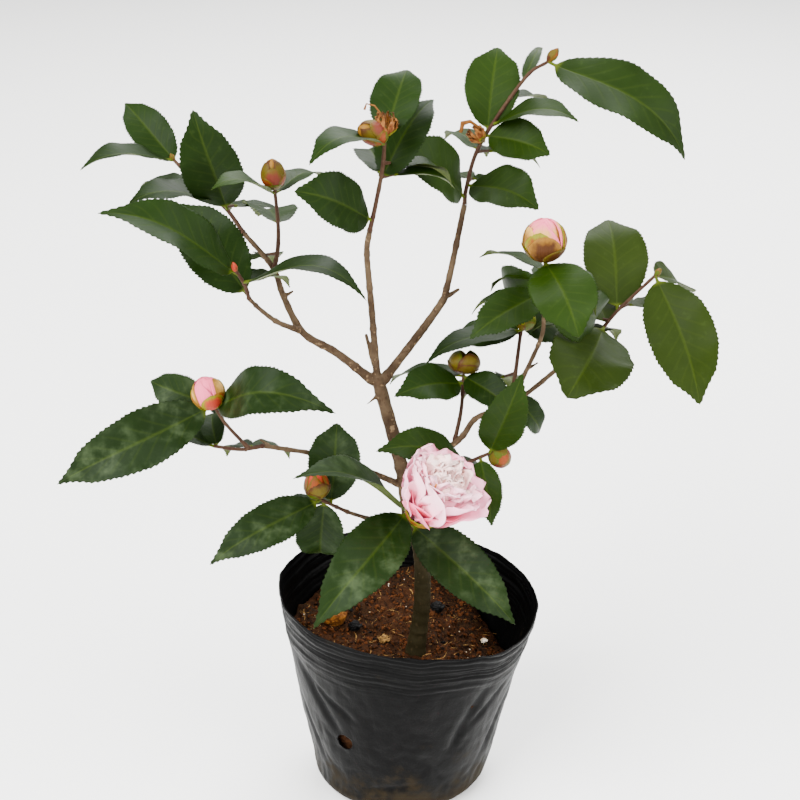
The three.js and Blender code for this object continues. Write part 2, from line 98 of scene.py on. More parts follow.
def new_finish(name, **sockets):
    """A material with its shader's own sockets set; returns it, its tree and its shader."""
    material = bpy.data.materials.new(name)
    material.use_nodes = True
    tree = material.node_tree
    shader = tree.nodes["Principled BSDF"]
    for key, value in sockets.items():
        shader.inputs[key.replace("_", " ")].default_value = value
    return material, tree, shader


def tint(tree, share, first, second):
    """The first colour turning into the second as the share goes from 0 to 1."""
    node = put(tree, "ShaderNodeMix", {0: share, 6: first, 7: second}, data_type="RGBA")
    return node.outputs[2]


def own_place(tree):
    return put(tree, "ShaderNodeTexCoord").outputs["Object"]


def feed(tree, shader, socket, source):
    """Links a colour or a number to one of a finish's sockets."""
    tree.links.new(source.socket if isinstance(source, Term) else source, shader.inputs[socket])


def aim(thing, target):
    """Turns a lamp to face a spot."""
    direction = Vector(target) - thing.location
    thing.rotation_euler = direction.to_track_quat("-Z", "Y").to_euler()


def show(name, data):
    """Puts a new object into the scene."""
    thing = bpy.data.objects.new(name, data)
    bpy.context.scene.collection.objects.link(thing)
    return thing


floor_finish, floor_tree, floor_shader = new_finish("floor-paper", Roughness=0.9)
floor_cloud = noise_at(floor_tree, own_place(floor_tree), 3.0)
floor_white = (*FLOOR_COLOUR, 1)
feed(floor_tree, floor_shader, "Base Color",
     tint(floor_tree, floor_cloud, floor_white, (*[part * FLOOR_SHADE for part in FLOOR_COLOUR], 1)))
floor_mesh = bpy.data.meshes.new("floor")
floor_half = FLOOR_SIZE / 2
floor_mesh.from_pydata(
    [(x * floor_half, y * floor_half, 0) for x, y in ((-1, -1), (1, -1), (1, 1), (-1, 1))], [],
    [(0, 1, 2, 3)])
floor_mesh.materials.append(floor_finish)
show("floor", floor_mesh)

for panel_name, place, target, width, watts in PANELS:
    panel = bpy.data.lights.new(panel_name, "AREA")
    panel.shape = "SQUARE"
    panel.size = width
    panel.energy = watts
    lamp = show(panel_name, panel)
    lamp.location = place
    aim(lamp, target)

room = bpy.data.worlds.new("room")
room.use_nodes = True
room.node_tree.nodes["Background"].inputs["Color"].default_value = (*ROOM_COLOUR, 1)
room.node_tree.nodes["Background"].inputs["Strength"].default_value = ROOM_LIGHT
bpy.context.scene.world = room

lens = bpy.data.cameras.new("camera")
lens.lens = CAMERA_LENS
lens.sensor_width = CAMERA_SENSOR
camera = show("camera", lens)
camera.location = CAMERA_PLACE
camera.rotation_euler = (math.radians(90 - CAMERA_PITCH), 0, 0)
bpy.context.scene.camera = camera

# ---------------------------------------------------------------- nursery bag
# A soft grow bag of thin black polythene film, open at the top and drained by punched holes near its
# foot. The soil holds it round; the slack film above and between lies in level ribs and long creases.

BAG = {
    "Sole Radius": 0.042,
    "Foot Radius": 0.052,
    "Edge Height": 0.010,
    "Edge Run": 0.015,
    "Mouth Radius": 0.0748,
    "Height": 0.1205,
    "Lean": 0.005,
    "Rim Drop": 0.006,
    "Flattening": 0.05,
    "Corner Out": 0.05,
    "Rib Band": 0.030,
    "Rib Depth": 0.0009,
    "Dent Depth": 0.0018,
}
CORNER_TURN = math.radians(-48)
CORNER_SPREAD = math.radians(20)
FILM = 0.0006
BAG_ROUND = 224
BAG_RINGS = 172
RING_CROWDING = 0.4    # how much closer the mesh's rings lie near the rim than on an even wall
WALL_RUN = 0.1135
WALL_REACH = 0.063     # mean radius of the wall, which turns a crease's degrees into metres
DRAIN = {"count": 3, "radius": 0.005, "height": 0.051, "first": -124.0}
RIBS_TO_THE_METRE = 700.0
FOLD_DEPTH = 0.0006
FOOT_WRINKLE = 0.0016
LIP_RISE = 0.0030
PUNCH_FROM = 0.035
PUNCH_TO = 0.075
PUNCH_SIDES = 28
# Long creases in the film: turn and height at one end, then at the other, depth and half width.
CREASES = [
    (-158, 0.098, -122, 0.050, 0.0016, 0.0030),
    (-150, 0.088, -112, 0.066, 0.0010, 0.0022),
    (-165, 0.070, -140, 0.020, 0.0012, 0.0030),
    (-48, 0.098, -66, 0.042, 0.0018, 0.0032),
    (-30, 0.092, -58, 0.060, 0.0010, 0.0022),
    (-20, 0.080, -40, 0.025, 0.0012, 0.0030),
    (-84, 0.050, -60, 0.020, 0.0009, 0.0026),
    (-118, 0.016, -74, 0.026, 0.0009, 0.0022),
    (12, 0.095, 34, 0.036, 0.0014, 0.0030),
    (52, 0.088, 70, 0.030, 0.0012, 0.0030),
    (96, 0.094, 80, 0.046, 0.0013, 0.0028),
    (120, 0.080, 142, 0.030, 0.0014, 0.0030),
    (160, 0.092, 178, 0.044, 0.0012, 0.0028),
]


def colour(red, green, blue):
    """A colour as a maker's chart gives it, 0 to 255, turned into light."""
    def light(part):
        share = part / 255
        return share / 12.92 if share <= 0.04045 else ((share + 0.055) / 1.055) ** 2.4
    return (light(red), light(green), light(blue), 1.0)


BAG_BLACK = colour(2, 2, 2)
BAG_GREY = colour(7, 7, 7)
BAG_EARTH = colour(36, 29, 17)
# Patterns of a finish: how fine, detail, roughness, where a patch starts and where it is full, stretch.
# lighter grey streaks that are partly scuffs of wear and partly painted sheen of the film
FILM_SCUFFS_AND_SHEEN = (190.0, 3.0, 0.7, 0.50, 0.72, (1.0, 1.0, 0.35))
EARTH_TOP = 0.055


def sum_of(tree, operation, *numbers):
    """What one sum makes of some numbers of a node tree."""
    node = put(tree, "ShaderNodeMath", enumerate(numbers), operation=operation)
    return Term(tree, node.outputs[0])


# the signs of plain arithmetic, on either side of a Term
for sign, sign_work in (("add", "ADD"), ("sub", "SUBTRACT"), ("mul", "MULTIPLY"), ("truediv", "DIVIDE"),
                        ("pow", "POWER")):
    setattr(Term, f"__{sign}__", lambda own, other, work=sign_work: sum_of(own.tree, work, own, other))
    setattr(Term, f"__r{sign}__", lambda own, other, work=sign_work: sum_of(own.tree, work, other, own))


def sine(term):
    return sum_of(term.tree, "SINE", term)


def cosine(term):
    return sum_of(term.tree, "COSINE", term)


def size_of(term):
    return sum_of(term.tree, "ABSOLUTE", term)


def greater(term, other):
    return sum_of(term.tree, "MAXIMUM", term, other)


def lesser(term, other):
    return sum_of(term.tree, "MINIMUM", term, other)


def step_up(term, low, high):
    """0 below low, 1 above high, and a soft rise between."""
    node = put(term.tree, "ShaderNodeMapRange", {"Value": term, "From Min": low, "From Max": high},
               interpolation_type="SMOOTHSTEP")
    return Term(term.tree, node.outputs["Result"])


def bell(term, width):
    """1 where the number is 0, fading to nothing over about twice the width."""
    return sum_of(term.tree, "EXPONENT", (term / width) ** 2 * -1.0)


def split(tree, vector):
    node = put(tree, "ShaderNodeSeparateXYZ", {0: vector})
    return [Term(tree, socket) for socket in node.outputs]


def join(tree, x, y, z):
    return put(tree, "ShaderNodeCombineXYZ", {0: x, 1: y, 2: z}).outputs[0]


def new_tree(name, sizes):
    """An empty shape tree with a named input for each size, and one for its finish."""
    tree = bpy.data.node_groups.new(name, "GeometryNodeTree")
    tree.interface.new_socket("Geometry", in_out="INPUT", socket_type="NodeSocketGeometry")
    for size in sizes:
        tree.interface.new_socket(size, in_out="INPUT", socket_type="NodeSocketFloat")
    tree.interface.new_socket("Finish", in_out="INPUT", socket_type="NodeSocketMaterial")
    tree.interface.new_socket("Second Finish", in_out="INPUT", socket_type="NodeSocketMaterial")
    tree.interface.new_socket("Geometry", in_out="OUTPUT", socket_type="NodeSocketGeometry")
    given = put(tree, "NodeGroupInput")
    return tree, given, {size: Term(tree, given.outputs[size]) for size in sizes}


def here(tree):
    return put(tree, "GeometryNodeInputPosition").outputs[0]


def moved(tree, shape, place):
    """A shape with each of its points at a new place."""
    return put(tree, "GeometryNodeSetPosition", {"Geometry": shape, "Position": place}).outputs[0]


def sway_at(*how):
    """Cloudy noise that swings either way, from -0.5 to 0.5."""
    return noise_at(*how) - 0.5


def end_tree(tree, shape, given):
    """Ends a tree: instances made real, smooth faces, and the finish."""
    real = put(tree, "GeometryNodeRealizeInstances", {"Geometry": shape})
    smooth = put(tree, "GeometryNodeSetShadeSmooth", {"Geometry": real.outputs[0]})
    coated = put(tree, "GeometryNodeSetMaterial",
                 {"Geometry": smooth.outputs[0], "Material": given.outputs["Finish"]})
    put(tree, "NodeGroupOutput", {0: coated.outputs[0]})


def put_on(thing, tree, sizes):
    """Puts a shape tree on an object and fills in its inputs by their identifiers."""
    shaper = thing.modifiers.new(tree.name, "NODES")
    shaper.node_group = tree
    for item in tree.interface.items_tree:
        if item.item_type == "SOCKET" and item.in_out == "INPUT" and item.name in sizes:
            shaper[item.identifier] = sizes[item.name]


def start_from(tree, sizes, data):
    """A starting object with a shape tree on it."""
    start = show("start", data)
    put_on(start, tree, sizes)
    return start


def keep_as(name, start):
    """Keeps what a starting object's modifiers make as one plain piece."""
    graph = bpy.context.evaluated_depsgraph_get()
    mesh = bpy.data.meshes.new_from_object(start.evaluated_get(graph), preserve_all_data_layers=True,
                                           depsgraph=graph)
    mesh.name = name
    bpy.data.objects.remove(start)
    return show(name, mesh)


def settle(turn, radius, height, given):
    """Where the bag's lean, its dropped rim and its soft corner take a round bag's point."""
    share = greater(height / given["Height"], 0.0)
    flat = 1.0 - given["Flattening"] * share * greater(sine(turn) * -1.0, 0.0) ** 4.0
    corner = given["Corner Out"] * share * share * bell(turn - CORNER_TURN, CORNER_SPREAD)
    grow = flat + corner
    x = cosine(turn) * radius * grow + given["Lean"] * share
    y = sine(turn) * radius * grow
    drop = given["Rim Drop"] * share ** 3.0 * cosine(turn) * lesser(radius / given["Foot Radius"], 1.0)
    return x, y, height - drop


def round_sheet(tree, around, rings):
    """A tube of rings; returns it with its turn and its place from 0 at the first ring to 1 at the last."""
    tube = put(tree, "GeometryNodeMeshCylinder",
               {"Vertices": around, "Side Segments": rings, "Radius": 1.0, "Depth": 1.0}, fill_type="NONE")
    x, y, z = split(tree, here(tree))
    turn = sum_of(tree, "ARCTAN2", y, x)
    return tube.outputs["Mesh"], turn, z + 0.5


def lies_on_crease(turn, height, ends, half_width):
    """1 along the straight line between two spots of the wall, fading to either side and at its ends."""
    turn_a, height_a, turn_b, height_b = ends
    run_x = math.radians(turn_b - turn_a) * WALL_REACH
    run_y = height_b - height_a
    run = math.hypot(run_x, run_y)
    away_x = (turn - math.radians(turn_a)) * WALL_REACH
    away_y = height - height_a
    along = (away_x * run_x + away_y * run_y) / run ** 2
    aside = (away_x * run_y - away_y * run_x) / run
    ends_fade = step_up(along, 0.0, 0.3) * (1.0 - step_up(along, 0.7, 1.0))
    return bell(aside, half_width) * ends_fade


def make_bag_tree():
    tree, source, given = new_tree("nursery-bag", list(BAG))
    tube, turn, place = round_sheet(tree, BAG_ROUND, BAG_RINGS)
    place = place * (1 + RING_CROWDING) - place * place * RING_CROWDING
    walked = place * (given["Sole Radius"] + given["Edge Run"] + WALL_RUN)
    edge = lesser(greater((walked - given["Sole Radius"]) / given["Edge Run"], 0.0), 1.0)
    wall = greater((walked - given["Sole Radius"] - given["Edge Run"]) / WALL_RUN, 0.0)
    radius = (lesser(walked, given["Sole Radius"])
              + (given["Foot Radius"] - given["Sole Radius"]) * sine(edge * (math.pi / 2))
              + (given["Mouth Radius"] - given["Foot Radius"]) * wall)
    height = (given["Edge Height"] * (1.0 - cosine(edge * (math.pi / 2)))
              + (given["Height"] - given["Edge Height"]) * wall)

    ring = join(tree, cosine(turn), sine(turn), 0.0)
    drop = given["Height"] - height
    waver = noise_at(tree, ring, 1.7, 1.0)
    rib_place = join(tree, cosine(turn) * 1.1, sine(turn) * 1.1,
                     (height + waver * 0.010) * RIBS_TO_THE_METRE)
    ribs = sway_at(tree, rib_place, 1.0, 1.0, 0.35)
    in_band = 1.0 - step_up(drop / given["Rib Band"], 0.55, 1.15)
    ribs = ribs * in_band * given["Rib Depth"] * 3.2

    wall_place = join(tree, cosine(turn) * 0.065, sine(turn) * 0.065, height)
    dents = sway_at(tree, wall_place, 24.0, 1.5, 0.45, (1.0, 1.0, 0.7))
    folds = 1.0 - size_of(sway_at(tree, wall_place, 46.0, 2.0, 0.5, (1.0, 1.0, 0.8))) * 5.0
    folds = greater(folds, 0.0) ** 2.0
    on_wall = step_up(height, 0.003, 0.020)
    dented = (dents * given["Dent Depth"] * 2.0 - folds * FOLD_DEPTH) * on_wall * (1.0 - in_band * 0.6)
    foot_wrinkles = sway_at(tree, wall_place, 170.0, 2.0, 0.5, (1.0, 1.0, 0.5))
    near_foot = step_up(height, 0.001, 0.008) * (1.0 - step_up(height, 0.016, 0.034))
    dented = dented + foot_wrinkles * near_foot * FOOT_WRINKLE
    for turn_a, height_a, turn_b, height_b, depth, half_width in CREASES:
        crease = lies_on_crease(turn, height, (turn_a, height_a, turn_b, height_b), half_width)
        dented = dented - crease * depth
    lip = sway_at(tree, ring, 5.0, 2.0)
    lip_rise = (1.0 - step_up(drop, 0.0, 0.012)) * lip * LIP_RISE
    x, y, z = settle(turn, radius + ribs + dented, height + lip_rise, given)
    placed = moved(tree, tube, join(tree, x, y, z))
    closed = put(tree, "GeometryNodeMergeByDistance", {"Geometry": placed, "Distance": 0.00002})
    end_tree(tree, closed.outputs[0], source)
    return tree


def patches(tree, place, scale, detail, roughness, start, full, stretch=None):
    """Soft-edged patches of a finish: 0 between them and 1 inside."""
    return step_up(noise_at(tree, place, scale, detail, roughness, stretch), start, full)


def raise_by(tree, shader, height, distance, strength):
    """Fine relief on a finish: `height` from 0 to 1 stands `distance` metres proud."""
    bump = put(tree, "ShaderNodeBump", {"Height": height, "Distance": distance, "Strength": strength})
    tree.links.new(bump.outputs[0], shader.inputs["Normal"])


def make_bag_finish():
    finish, tree, shader = new_finish("black-film", Roughness=0.42, Specular_IOR_Level=0.05)
    place = own_place(tree)
    height = split(tree, place)[2]
    cloud = noise_at(tree, place, 32.0, 3.0, 0.6)
    # lighter grey streaks: partly scuffs of wear, partly painted sheen
    scuff_and_sheen = patches(tree, place, *FILM_SCUFFS_AND_SHEEN)
    greyed = tint(tree, cloud * 0.7 + scuff_and_sheen * 0.35, BAG_BLACK, BAG_GREY)
    smear = noise_at(tree, place, 60.0, 4.0, 0.65)
    low = 1.0 - step_up(height, 0.004, EARTH_TOP)
    earth = step_up(smear + low * 0.30, 0.62, 0.90) * 0.8
    feed(tree, shader, "Base Color", tint(tree, earth, greyed, BAG_EARTH))
    feed(tree, shader, "Roughness", 0.34 + cloud * 0.16 + earth * 0.30 + scuff_and_sheen * 0.08)
    wrinkle = noise_at(tree, place, 210.0, 3.0, 0.55, (1.0, 1.0, 0.55))
    pores = noise_at(tree, place, 1500.0, 1.0)
    raise_by(tree, shader, wrinkle + pores * 0.12, 0.0007, 0.55)
    return finish


def drain_punches():
    """Short rods that punch the drain holes."""
    verts, faces = [], []
    sides = PUNCH_SIDES
    for k in range(DRAIN["count"]):
        turn = math.radians(DRAIN["first"] + k * 360 / DRAIN["count"])
        outward = Vector((math.cos(turn), math.sin(turn), 0))
        aside = Vector((-math.sin(turn), math.cos(turn), 0))
        base = len(verts)
        for depth in (PUNCH_FROM, PUNCH_TO):
            for side in range(sides):
                angle = 2 * math.pi * side / sides
                spot = outward * depth + aside * (DRAIN["radius"] * math.cos(angle))
                spot.z = DRAIN["height"] + DRAIN["radius"] * math.sin(angle)
                spot.x += BAG["Lean"] * spot.z / BAG["Height"]
                verts.append(spot)
        for side in range(sides):
            after = (side + 1) % sides
            faces.append((base + side, base + after, base + sides + after, base + sides + side))
        faces.append(tuple(base + side for side in reversed(range(sides))))
        faces.append(tuple(base + sides + side for side in range(sides)))
    mesh = bpy.data.meshes.new("drain-punches")
    mesh.from_pydata(verts, [], faces)
    return show("drain-punches", mesh)


bag_finish = make_bag_finish()
bag_start = start_from(make_bag_tree(), {**BAG, "Finish": bag_finish}, bpy.data.meshes.new("bag-start"))
wall = bag_start.modifiers.new("film", "SOLIDIFY")
wall.thickness = FILM
wall.offset = -1.0
punches = drain_punches()
punched = bag_start.modifiers.new("drain", "BOOLEAN")
punched.operation = "DIFFERENCE"
punched.solver = "EXACT"
punched.object = punches
nursery_bag = keep_as("bag-film", bag_start)
bpy.data.objects.remove(punches)
nursery_bag.data.materials.clear()
nursery_bag.data.materials.append(bag_finish)
nursery_bag.data.polygons.foreach_set("material_index", [0] * len(nursery_bag.data.polygons))
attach(nursery_bag, "root")
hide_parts("nursery-bag")

# ---------------------------------------------------------------- soil
# Damp red-brown potting mix of peat, clay and bark crumbs, filled loosely round the trunk and slumped to
# the right. Straw, charcoal, perlite and one clod of tan clay lie on it.

SOIL = {
    "Level": 0.093,
    "Heap": 0.003,
    "Fall": 0.034,
    "Lump": 0.0025,
    "Seat": 0.009,
    "Grain": 0.0046,
    "Wall Gap": 0.0022,
}
TRUNK_FOOT = (0.009, -0.020)
SOIL_ROUND = 192
SOIL_RINGS = 150
# The soil's rings run out over its top, down its side and back in beneath it, in these shares.
TOP_SHARE = 0.6
SIDE_SHARE = 0.25
UNDER_SHARE = 0.15
SOIL_FOOT = 0.012
SOIL_SOLE = 0.010      # how far the middle of its underside lies below its foot
SOIL_WIDE = 0.075
SIDE_DENTS = 0.0022
SIDE_GAP = 0.0014      # how much more slack there is below the top, besides the gap at the wall
OPEN_SHARE = 0.56      # loose bits lie within this share of the rings, clear of the wall
SOIL_RED = colour(40, 20, 8)
SOIL_BROWN = colour(20, 12, 6)
# near-black painted shade, standing for the shadowed holes between the crumbs
SOIL_PIT_SHADE = colour(5, 3, 2)
SOIL_GRAIN = colour(58, 35, 16)
SOIL_PATCHES = (38.0, 3.0, 0.6, 0.36, 0.66)
# patches of painted shade, where holes between the crumbs would lie in shadow
SHADED_PIT_PATCHES = (260.0, 3.0, 0.65, 0.30, 0.52)
CRUMB_PATCHES = (430.0, 2.0, 0.6, 0.36, 0.64)
# Loose bits on the soil: name, how many to the square metre, smallest and largest size, how flat, how many
# times longer than wide, how far they tilt, how rounded, seed.
CRUMBS = [
    ("soil-crumbs", 150000, 0.0008, 0.0040, 0.75, 1.0, 3.1, 1, 3),
    ("soil-pebbles", 3000, 0.0026, 0.0056, 0.7, 1.0, 3.1, 2, 8),
    ("charcoal-bits", 1300, 0.0016, 0.0040, 0.5, 1.0, 3.1, 2, 5),
    ("perlite-grains", 2600, 0.0007, 0.0016, 0.9, 1.0, 3.1, 1, 11),
    ("straw-fibres", 24000, 0.00026, 0.00050, 0.8, 22.0, 0.3, 1, 17),
]
BIT_SPIN = 6.28        # a bit may be turned all the way round, in radians
LUMP_SHOWS = 0.17      # how far a lump's middle stands above the soil, over its width
# Bigger things that lie on it: name, place, width, flatness, raggedness.
FINDS = [
    ("clay-clod", -0.0390, 0.0040, 0.0145, 0.75, 0.35),
    ("charcoal-lump", -0.0264, 0.0010, 0.0072, 0.7, 0.7),
    ("charcoal-knob", 0.0222, 0.0280, 0.0080, 0.8, 0.5),
    ("straw-knot", -0.0093, -0.0105, 0.0062, 0.5, 1.2),
    ("perlite-chip", 0.0500, 0.0160, 0.0040, 0.6, 0.5),
]


def make_soil_tree():
    tree, source, given = new_tree("soil", [*BAG, *SOIL])
    tube, turn, place = round_sheet(tree, SOIL_ROUND, SOIL_RINGS)
    top = lesser(place / TOP_SHARE, 1.0)
    side = lesser(greater((place - TOP_SHARE) / SIDE_SHARE, 0.0), 1.0)
    under = greater((place - (TOP_SHARE + SIDE_SHARE)) / UNDER_SHARE, 0.0)
    slope = given["Mouth Radius"] - given["Foot Radius"]
    rise = (given["Level"] - SOIL_FOOT) / (given["Height"] - given["Edge Height"])
    brim = given["Foot Radius"] + slope * rise - given["Wall Gap"]
    x = cosine(turn) * brim * top
    y = sine(turn) * brim * top
    dx = x - TRUNK_FOOT[0]
    dy = y - TRUNK_FOOT[1]
    away = step_up(sum_of(tree, "SQRT", dx * dx + dy * dy) - given["Seat"], 0.0, 0.020)
    lump = sine(x * 111.0 + 1.0) * cosine(y * 91.0) * given["Lump"]
    level = given["Level"] + away * (given["Heap"] * greater(dy, 0.0) / SOIL_WIDE
                                     - given["Fall"] * greater(dx, 0.0) / SOIL_WIDE + lump)
    spot = join(tree, x, y, 0.0)
    clods = sway_at(tree, spot, 85.0, 2.0, 0.6)
    grains = sway_at(tree, spot, 420.0, 3.0, 0.7)
    rough = clods * given["Grain"] * 2.0 + grains * given["Grain"] * 0.9
    height = (level + rough) * (1.0 - side) + SOIL_FOOT * side - under * SOIL_SOLE
    at_wall = (given["Foot Radius"] + slope * greater(height - given["Edge Height"], 0.0)
               / (given["Height"] - given["Edge Height"]) - given["Wall Gap"])
    packed = noise_at(tree, join(tree, cosine(turn) * 0.06, sine(turn) * 0.06, height), 60.0) - 0.7
    radius = (at_wall * top * (1.0 - under * 0.99)
              + (packed * SIDE_DENTS - SIDE_GAP) * side * (1.0 - under))
    sx, sy, sz = settle(turn, radius, height, given)
    marked = put(tree, "GeometryNodeStoreNamedAttribute",
                 {"Geometry": tube, "Name": "open",
                  "Value": 1.0 - step_up(place, OPEN_SHARE, OPEN_SHARE + 0.01)})
    placed = moved(tree, marked.outputs[0], join(tree, sx, sy, sz))
    closed = put(tree, "GeometryNodeMergeByDistance", {"Geometry": placed, "Distance": 0.00004})
    end_tree(tree, closed.outputs[0], source)
    return tree


def make_crumb_tree():
    """Scatters bits over the open soil, each turned and sized by chance."""
    tree, source, given = new_tree("soil-bits", ["To The Metre", "Smallest", "Largest", "Flatness",
                                                 "Stretch", "Tilt", "Roundness", "Seed"])
    marked = put(tree, "GeometryNodeInputNamedAttribute", {"Name": "open"})
    is_open = put(tree, "FunctionNodeCompare", {0: marked.outputs["Attribute"], 1: 0.5},
                  data_type="FLOAT", operation="GREATER_THAN")
    seed = sum_of(tree, "ROUND", given["Seed"])
    spots = put(tree, "GeometryNodeDistributePointsOnFaces",
                {"Mesh": source.outputs["Geometry"], "Selection": is_open.outputs[0],
                 "Density": given["To The Metre"], "Seed": seed})
    bit = put(tree, "GeometryNodeMeshIcoSphere", {"Radius": 0.5, "Subdivisions": given["Roundness"]})
    ragged = noise_at(tree, here(tree), 2.6, 1.0)
    x, y, z = split(tree, vector_work(tree, "SCALE", here(tree), 0.5 + ragged))
    sag = x * x * (given["Stretch"] - 1.0) * 0.9
    shaped = moved(tree, bit.outputs["Mesh"], join(tree, x, y + sag, z))
    tilt = given["Tilt"]
    spin = put(tree, "FunctionNodeRandomValue",
               {0: join(tree, tilt * -1.0, tilt * -1.0, 0.0), 1: join(tree, tilt, tilt, BIT_SPIN),
                "Seed": seed},
               data_type="FLOAT_VECTOR")
    size = put(tree, "FunctionNodeRandomValue", {"Seed": seed}, data_type="FLOAT")
    share = Term(tree, size.outputs[1])
    width = given["Smallest"] + (given["Largest"] - given["Smallest"]) * share ** 2.2
    spread = put(tree, "GeometryNodeInstanceOnPoints",
                 {"Points": spots.outputs["Points"], "Instance": shaped, "Rotation": spin.outputs[0],
                  "Scale": join(tree, width * given["Stretch"], width * (0.7 + share * 0.3),
                                width * given["Flatness"])})
    real = put(tree, "GeometryNodeRealizeInstances", {"Geometry": spread.outputs[0]})
    coated = put(tree, "GeometryNodeSetMaterial",
                 {"Geometry": real.outputs[0], "Material": source.outputs["Finish"]})
    put(tree, "NodeGroupOutput", {0: coated.outputs[0]})
    return tree


def make_lump_tree():
    """One ragged lump, sunk a third into whatever it lies on."""
    tree, source, given = new_tree("soil-lump", ["Across", "Flatness", "Raggedness", "X", "Y", "Z"])
    ball = put(tree, "GeometryNodeMeshIcoSphere", {"Radius": 0.5, "Subdivisions": 5})
    x, y, z = split(tree, here(tree))
    knobs = sway_at(tree, here(tree), 3.4, 4.0, 0.6)
    grow = (1.0 + knobs * given["Raggedness"] * 2.0) * given["Across"]
    placed = moved(tree, ball.outputs["Mesh"],
                   join(tree, given["X"] + x * grow, given["Y"] + y * grow,
                        given["Z"] + (z + LUMP_SHOWS) * grow * given["Flatness"]))
    end_tree(tree, placed, source)
    return tree


def crumb_finish(name, first, second, roughness):
    finish, tree, shader = new_finish(name, Roughness=roughness, Specular_IOR_Level=0.06)
    place = own_place(tree)
    cloud = patches(tree, place, *CRUMB_PATCHES)
    feed(tree, shader, "Base Color", tint(tree, cloud, first, second))
    raise_by(tree, shader, noise_at(tree, place, 1400.0, 2.0, 0.6), 0.0004, 0.8)
    return finish


def make_soil_finish():
    finish, tree, shader = new_finish("potting-mix", Roughness=0.92, Specular_IOR_Level=0.05)
    place = own_place(tree)
    patch = patches(tree, place, *SOIL_PATCHES)
    grain = noise_at(tree, place, 620.0, 3.0, 0.7)
    # painted shade: near-black patches standing for the shadowed holes between the crumbs
    pit_shade = 1.0 - patches(tree, place, *SHADED_PIT_PATCHES)
    warm = tint(tree, patch, SOIL_BROWN, SOIL_RED)
    grained = tint(tree, step_up(grain, 0.35, 0.70) * 0.55, warm, SOIL_GRAIN)
    feed(tree, shader, "Base Color", tint(tree, pit_shade * 0.85, grained, SOIL_PIT_SHADE))
    raise_by(tree, shader, grain * 0.7 + noise_at(tree, place, 210.0, 3.0) * 0.6, 0.0016, 0.9)
    return finish


soil_sizes = {**BAG, **SOIL, "Finish": make_soil_finish()}
soil_bed = keep_as("soil-bed", start_from(make_soil_tree(), soil_sizes, bpy.data.meshes.new("soil-start")))
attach(soil_bed, "root")
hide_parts("soil")

crumb_finishes = {
    "soil-crumbs": crumb_finish("crumb-earth", colour(14, 8, 4), colour(72, 38, 15), 0.9),
    "soil-pebbles": crumb_finish("pebble-earth", colour(66, 36, 15), colour(16, 9, 5), 0.85),
    "charcoal-bits": crumb_finish("charcoal", colour(4, 4, 4), colour(12, 11, 10), 0.6),
    "perlite-grains": crumb_finish("perlite", colour(226, 214, 196), colour(150, 128, 96), 0.8),
    "straw-fibres": crumb_finish("straw", colour(128, 96, 52), colour(56, 36, 18), 0.8),
    "clay-clod": crumb_finish("clay", colour(112, 68, 24), colour(70, 38, 12), 0.9),
}
crumb_tree = make_crumb_tree()
for (crumb_name, to_the_metre, smallest, largest, flatness, stretch, crumb_tilt, roundness,
     crumb_seed) in CRUMBS:
    crumb_sizes = {"To The Metre": to_the_metre, "Smallest": smallest, "Largest": largest,
                   "Flatness": flatness, "Stretch": stretch, "Tilt": crumb_tilt,
                   "Roundness": float(roundness), "Seed": float(crumb_seed),
                   "Finish": crumb_finishes[crumb_name]}
    crumbs = keep_as(crumb_name, start_from(crumb_tree, crumb_sizes, soil_bed.data.copy()))
    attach(crumbs, "root")

lump_tree = make_lump_tree()
lump_finishes = {"clay": crumb_finishes["clay-clod"], "charcoal": crumb_finishes["charcoal-bits"],
                 "perlite": crumb_finishes["perlite-grains"], "straw": crumb_finishes["straw-fibres"]}
for find_name, find_x, find_y, across, flatness, raggedness in FINDS:
    find_z = max(vert.co.z for vert in soil_bed.data.vertices
                 if math.hypot(vert.co.x - find_x, vert.co.y - find_y) < 0.003)
    find_sizes = {"Across": across, "Flatness": flatness, "Raggedness": raggedness, "X": find_x, "Y": find_y,
                  "Z": find_z, "Finish": lump_finishes[find_name.split("-")[0]]}
    find = keep_as(find_name, start_from(lump_tree, find_sizes, bpy.data.meshes.new(find_name)))
    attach(find, "root")

# ---------------------------------------------------------------- trunk and boughs
# One stem with a knee above the soil, and eight boughs that leave its upper half or one another. Young
# camellia wood is tan, greener and darker near the soil, with a collar where each bough joins and bud rings.

# Limbs, stems, buds and the bloom are laid out in millimetres; what a shape tree is given is in metres. A leg
# is a bearing round from +X, a rise above level and a length.
MM = 0.001
CLEAR = 0.3            # between a limb's base and what carries it
TRUNK = {
    "foot": (9, -20, 93.3),
    "legs": [(0, 84, 34), (180, 88, 32), (160, 71, 19), (120, 71, 32), (145, 72, 51)],
    "diameters": (10, 7.2),
}
TRUNK_SUNK = 4
TRUNK_FLARE = 2.0
TRUNK_FLARE_RUN = 7.0
# name: what carries it, how far along that, diameters at both ends, legs
BOUGHS = {
    "bough-upper-left": ("trunk", 0.98, (5, 2.6),
                         [(185, 41, 25), (176, 32, 20), (148, 56, 22), (138, 62, 17), (150, 42, 24)]),
    "bough-far-left": ("bough-upper-left", 0.41, (3.2, 2.2), [(226, 31, 16), (233, 39, 15), (234, 45, 16)]),
    "bough-centre": ("trunk", 1, (4, 3), [(250, 80, 44), (250, 79, 32), (300, 77, 14)]),
    "bough-upper-right": ("trunk", 0.98, (5, 3.2), [(35, 43, 48), (39, 60, 14), (55, 69, 45)]),
    "bough-lower-right": ("trunk", 0.75, (4, 2.4), [(8, 37, 33), (17, 49, 16), (18, 18, 26), (22, 33, 45)]),
    "bough-right-upright": ("bough-lower-right", 0.73, (2.8, 2.2),
                            [(-58, 69, 15), (-51, 65, 31), (-72, 77, 14)]),
    "bough-lower-left": ("trunk", 0.73, (3.6, 2.4), [(194, 30, 22), (197, 26, 30), (200, 19, 30)]),
    "bough-low-front": ("trunk", 0.54, (3, 2.2), [(205, 26, 19), (205, 29, 19)]),
}
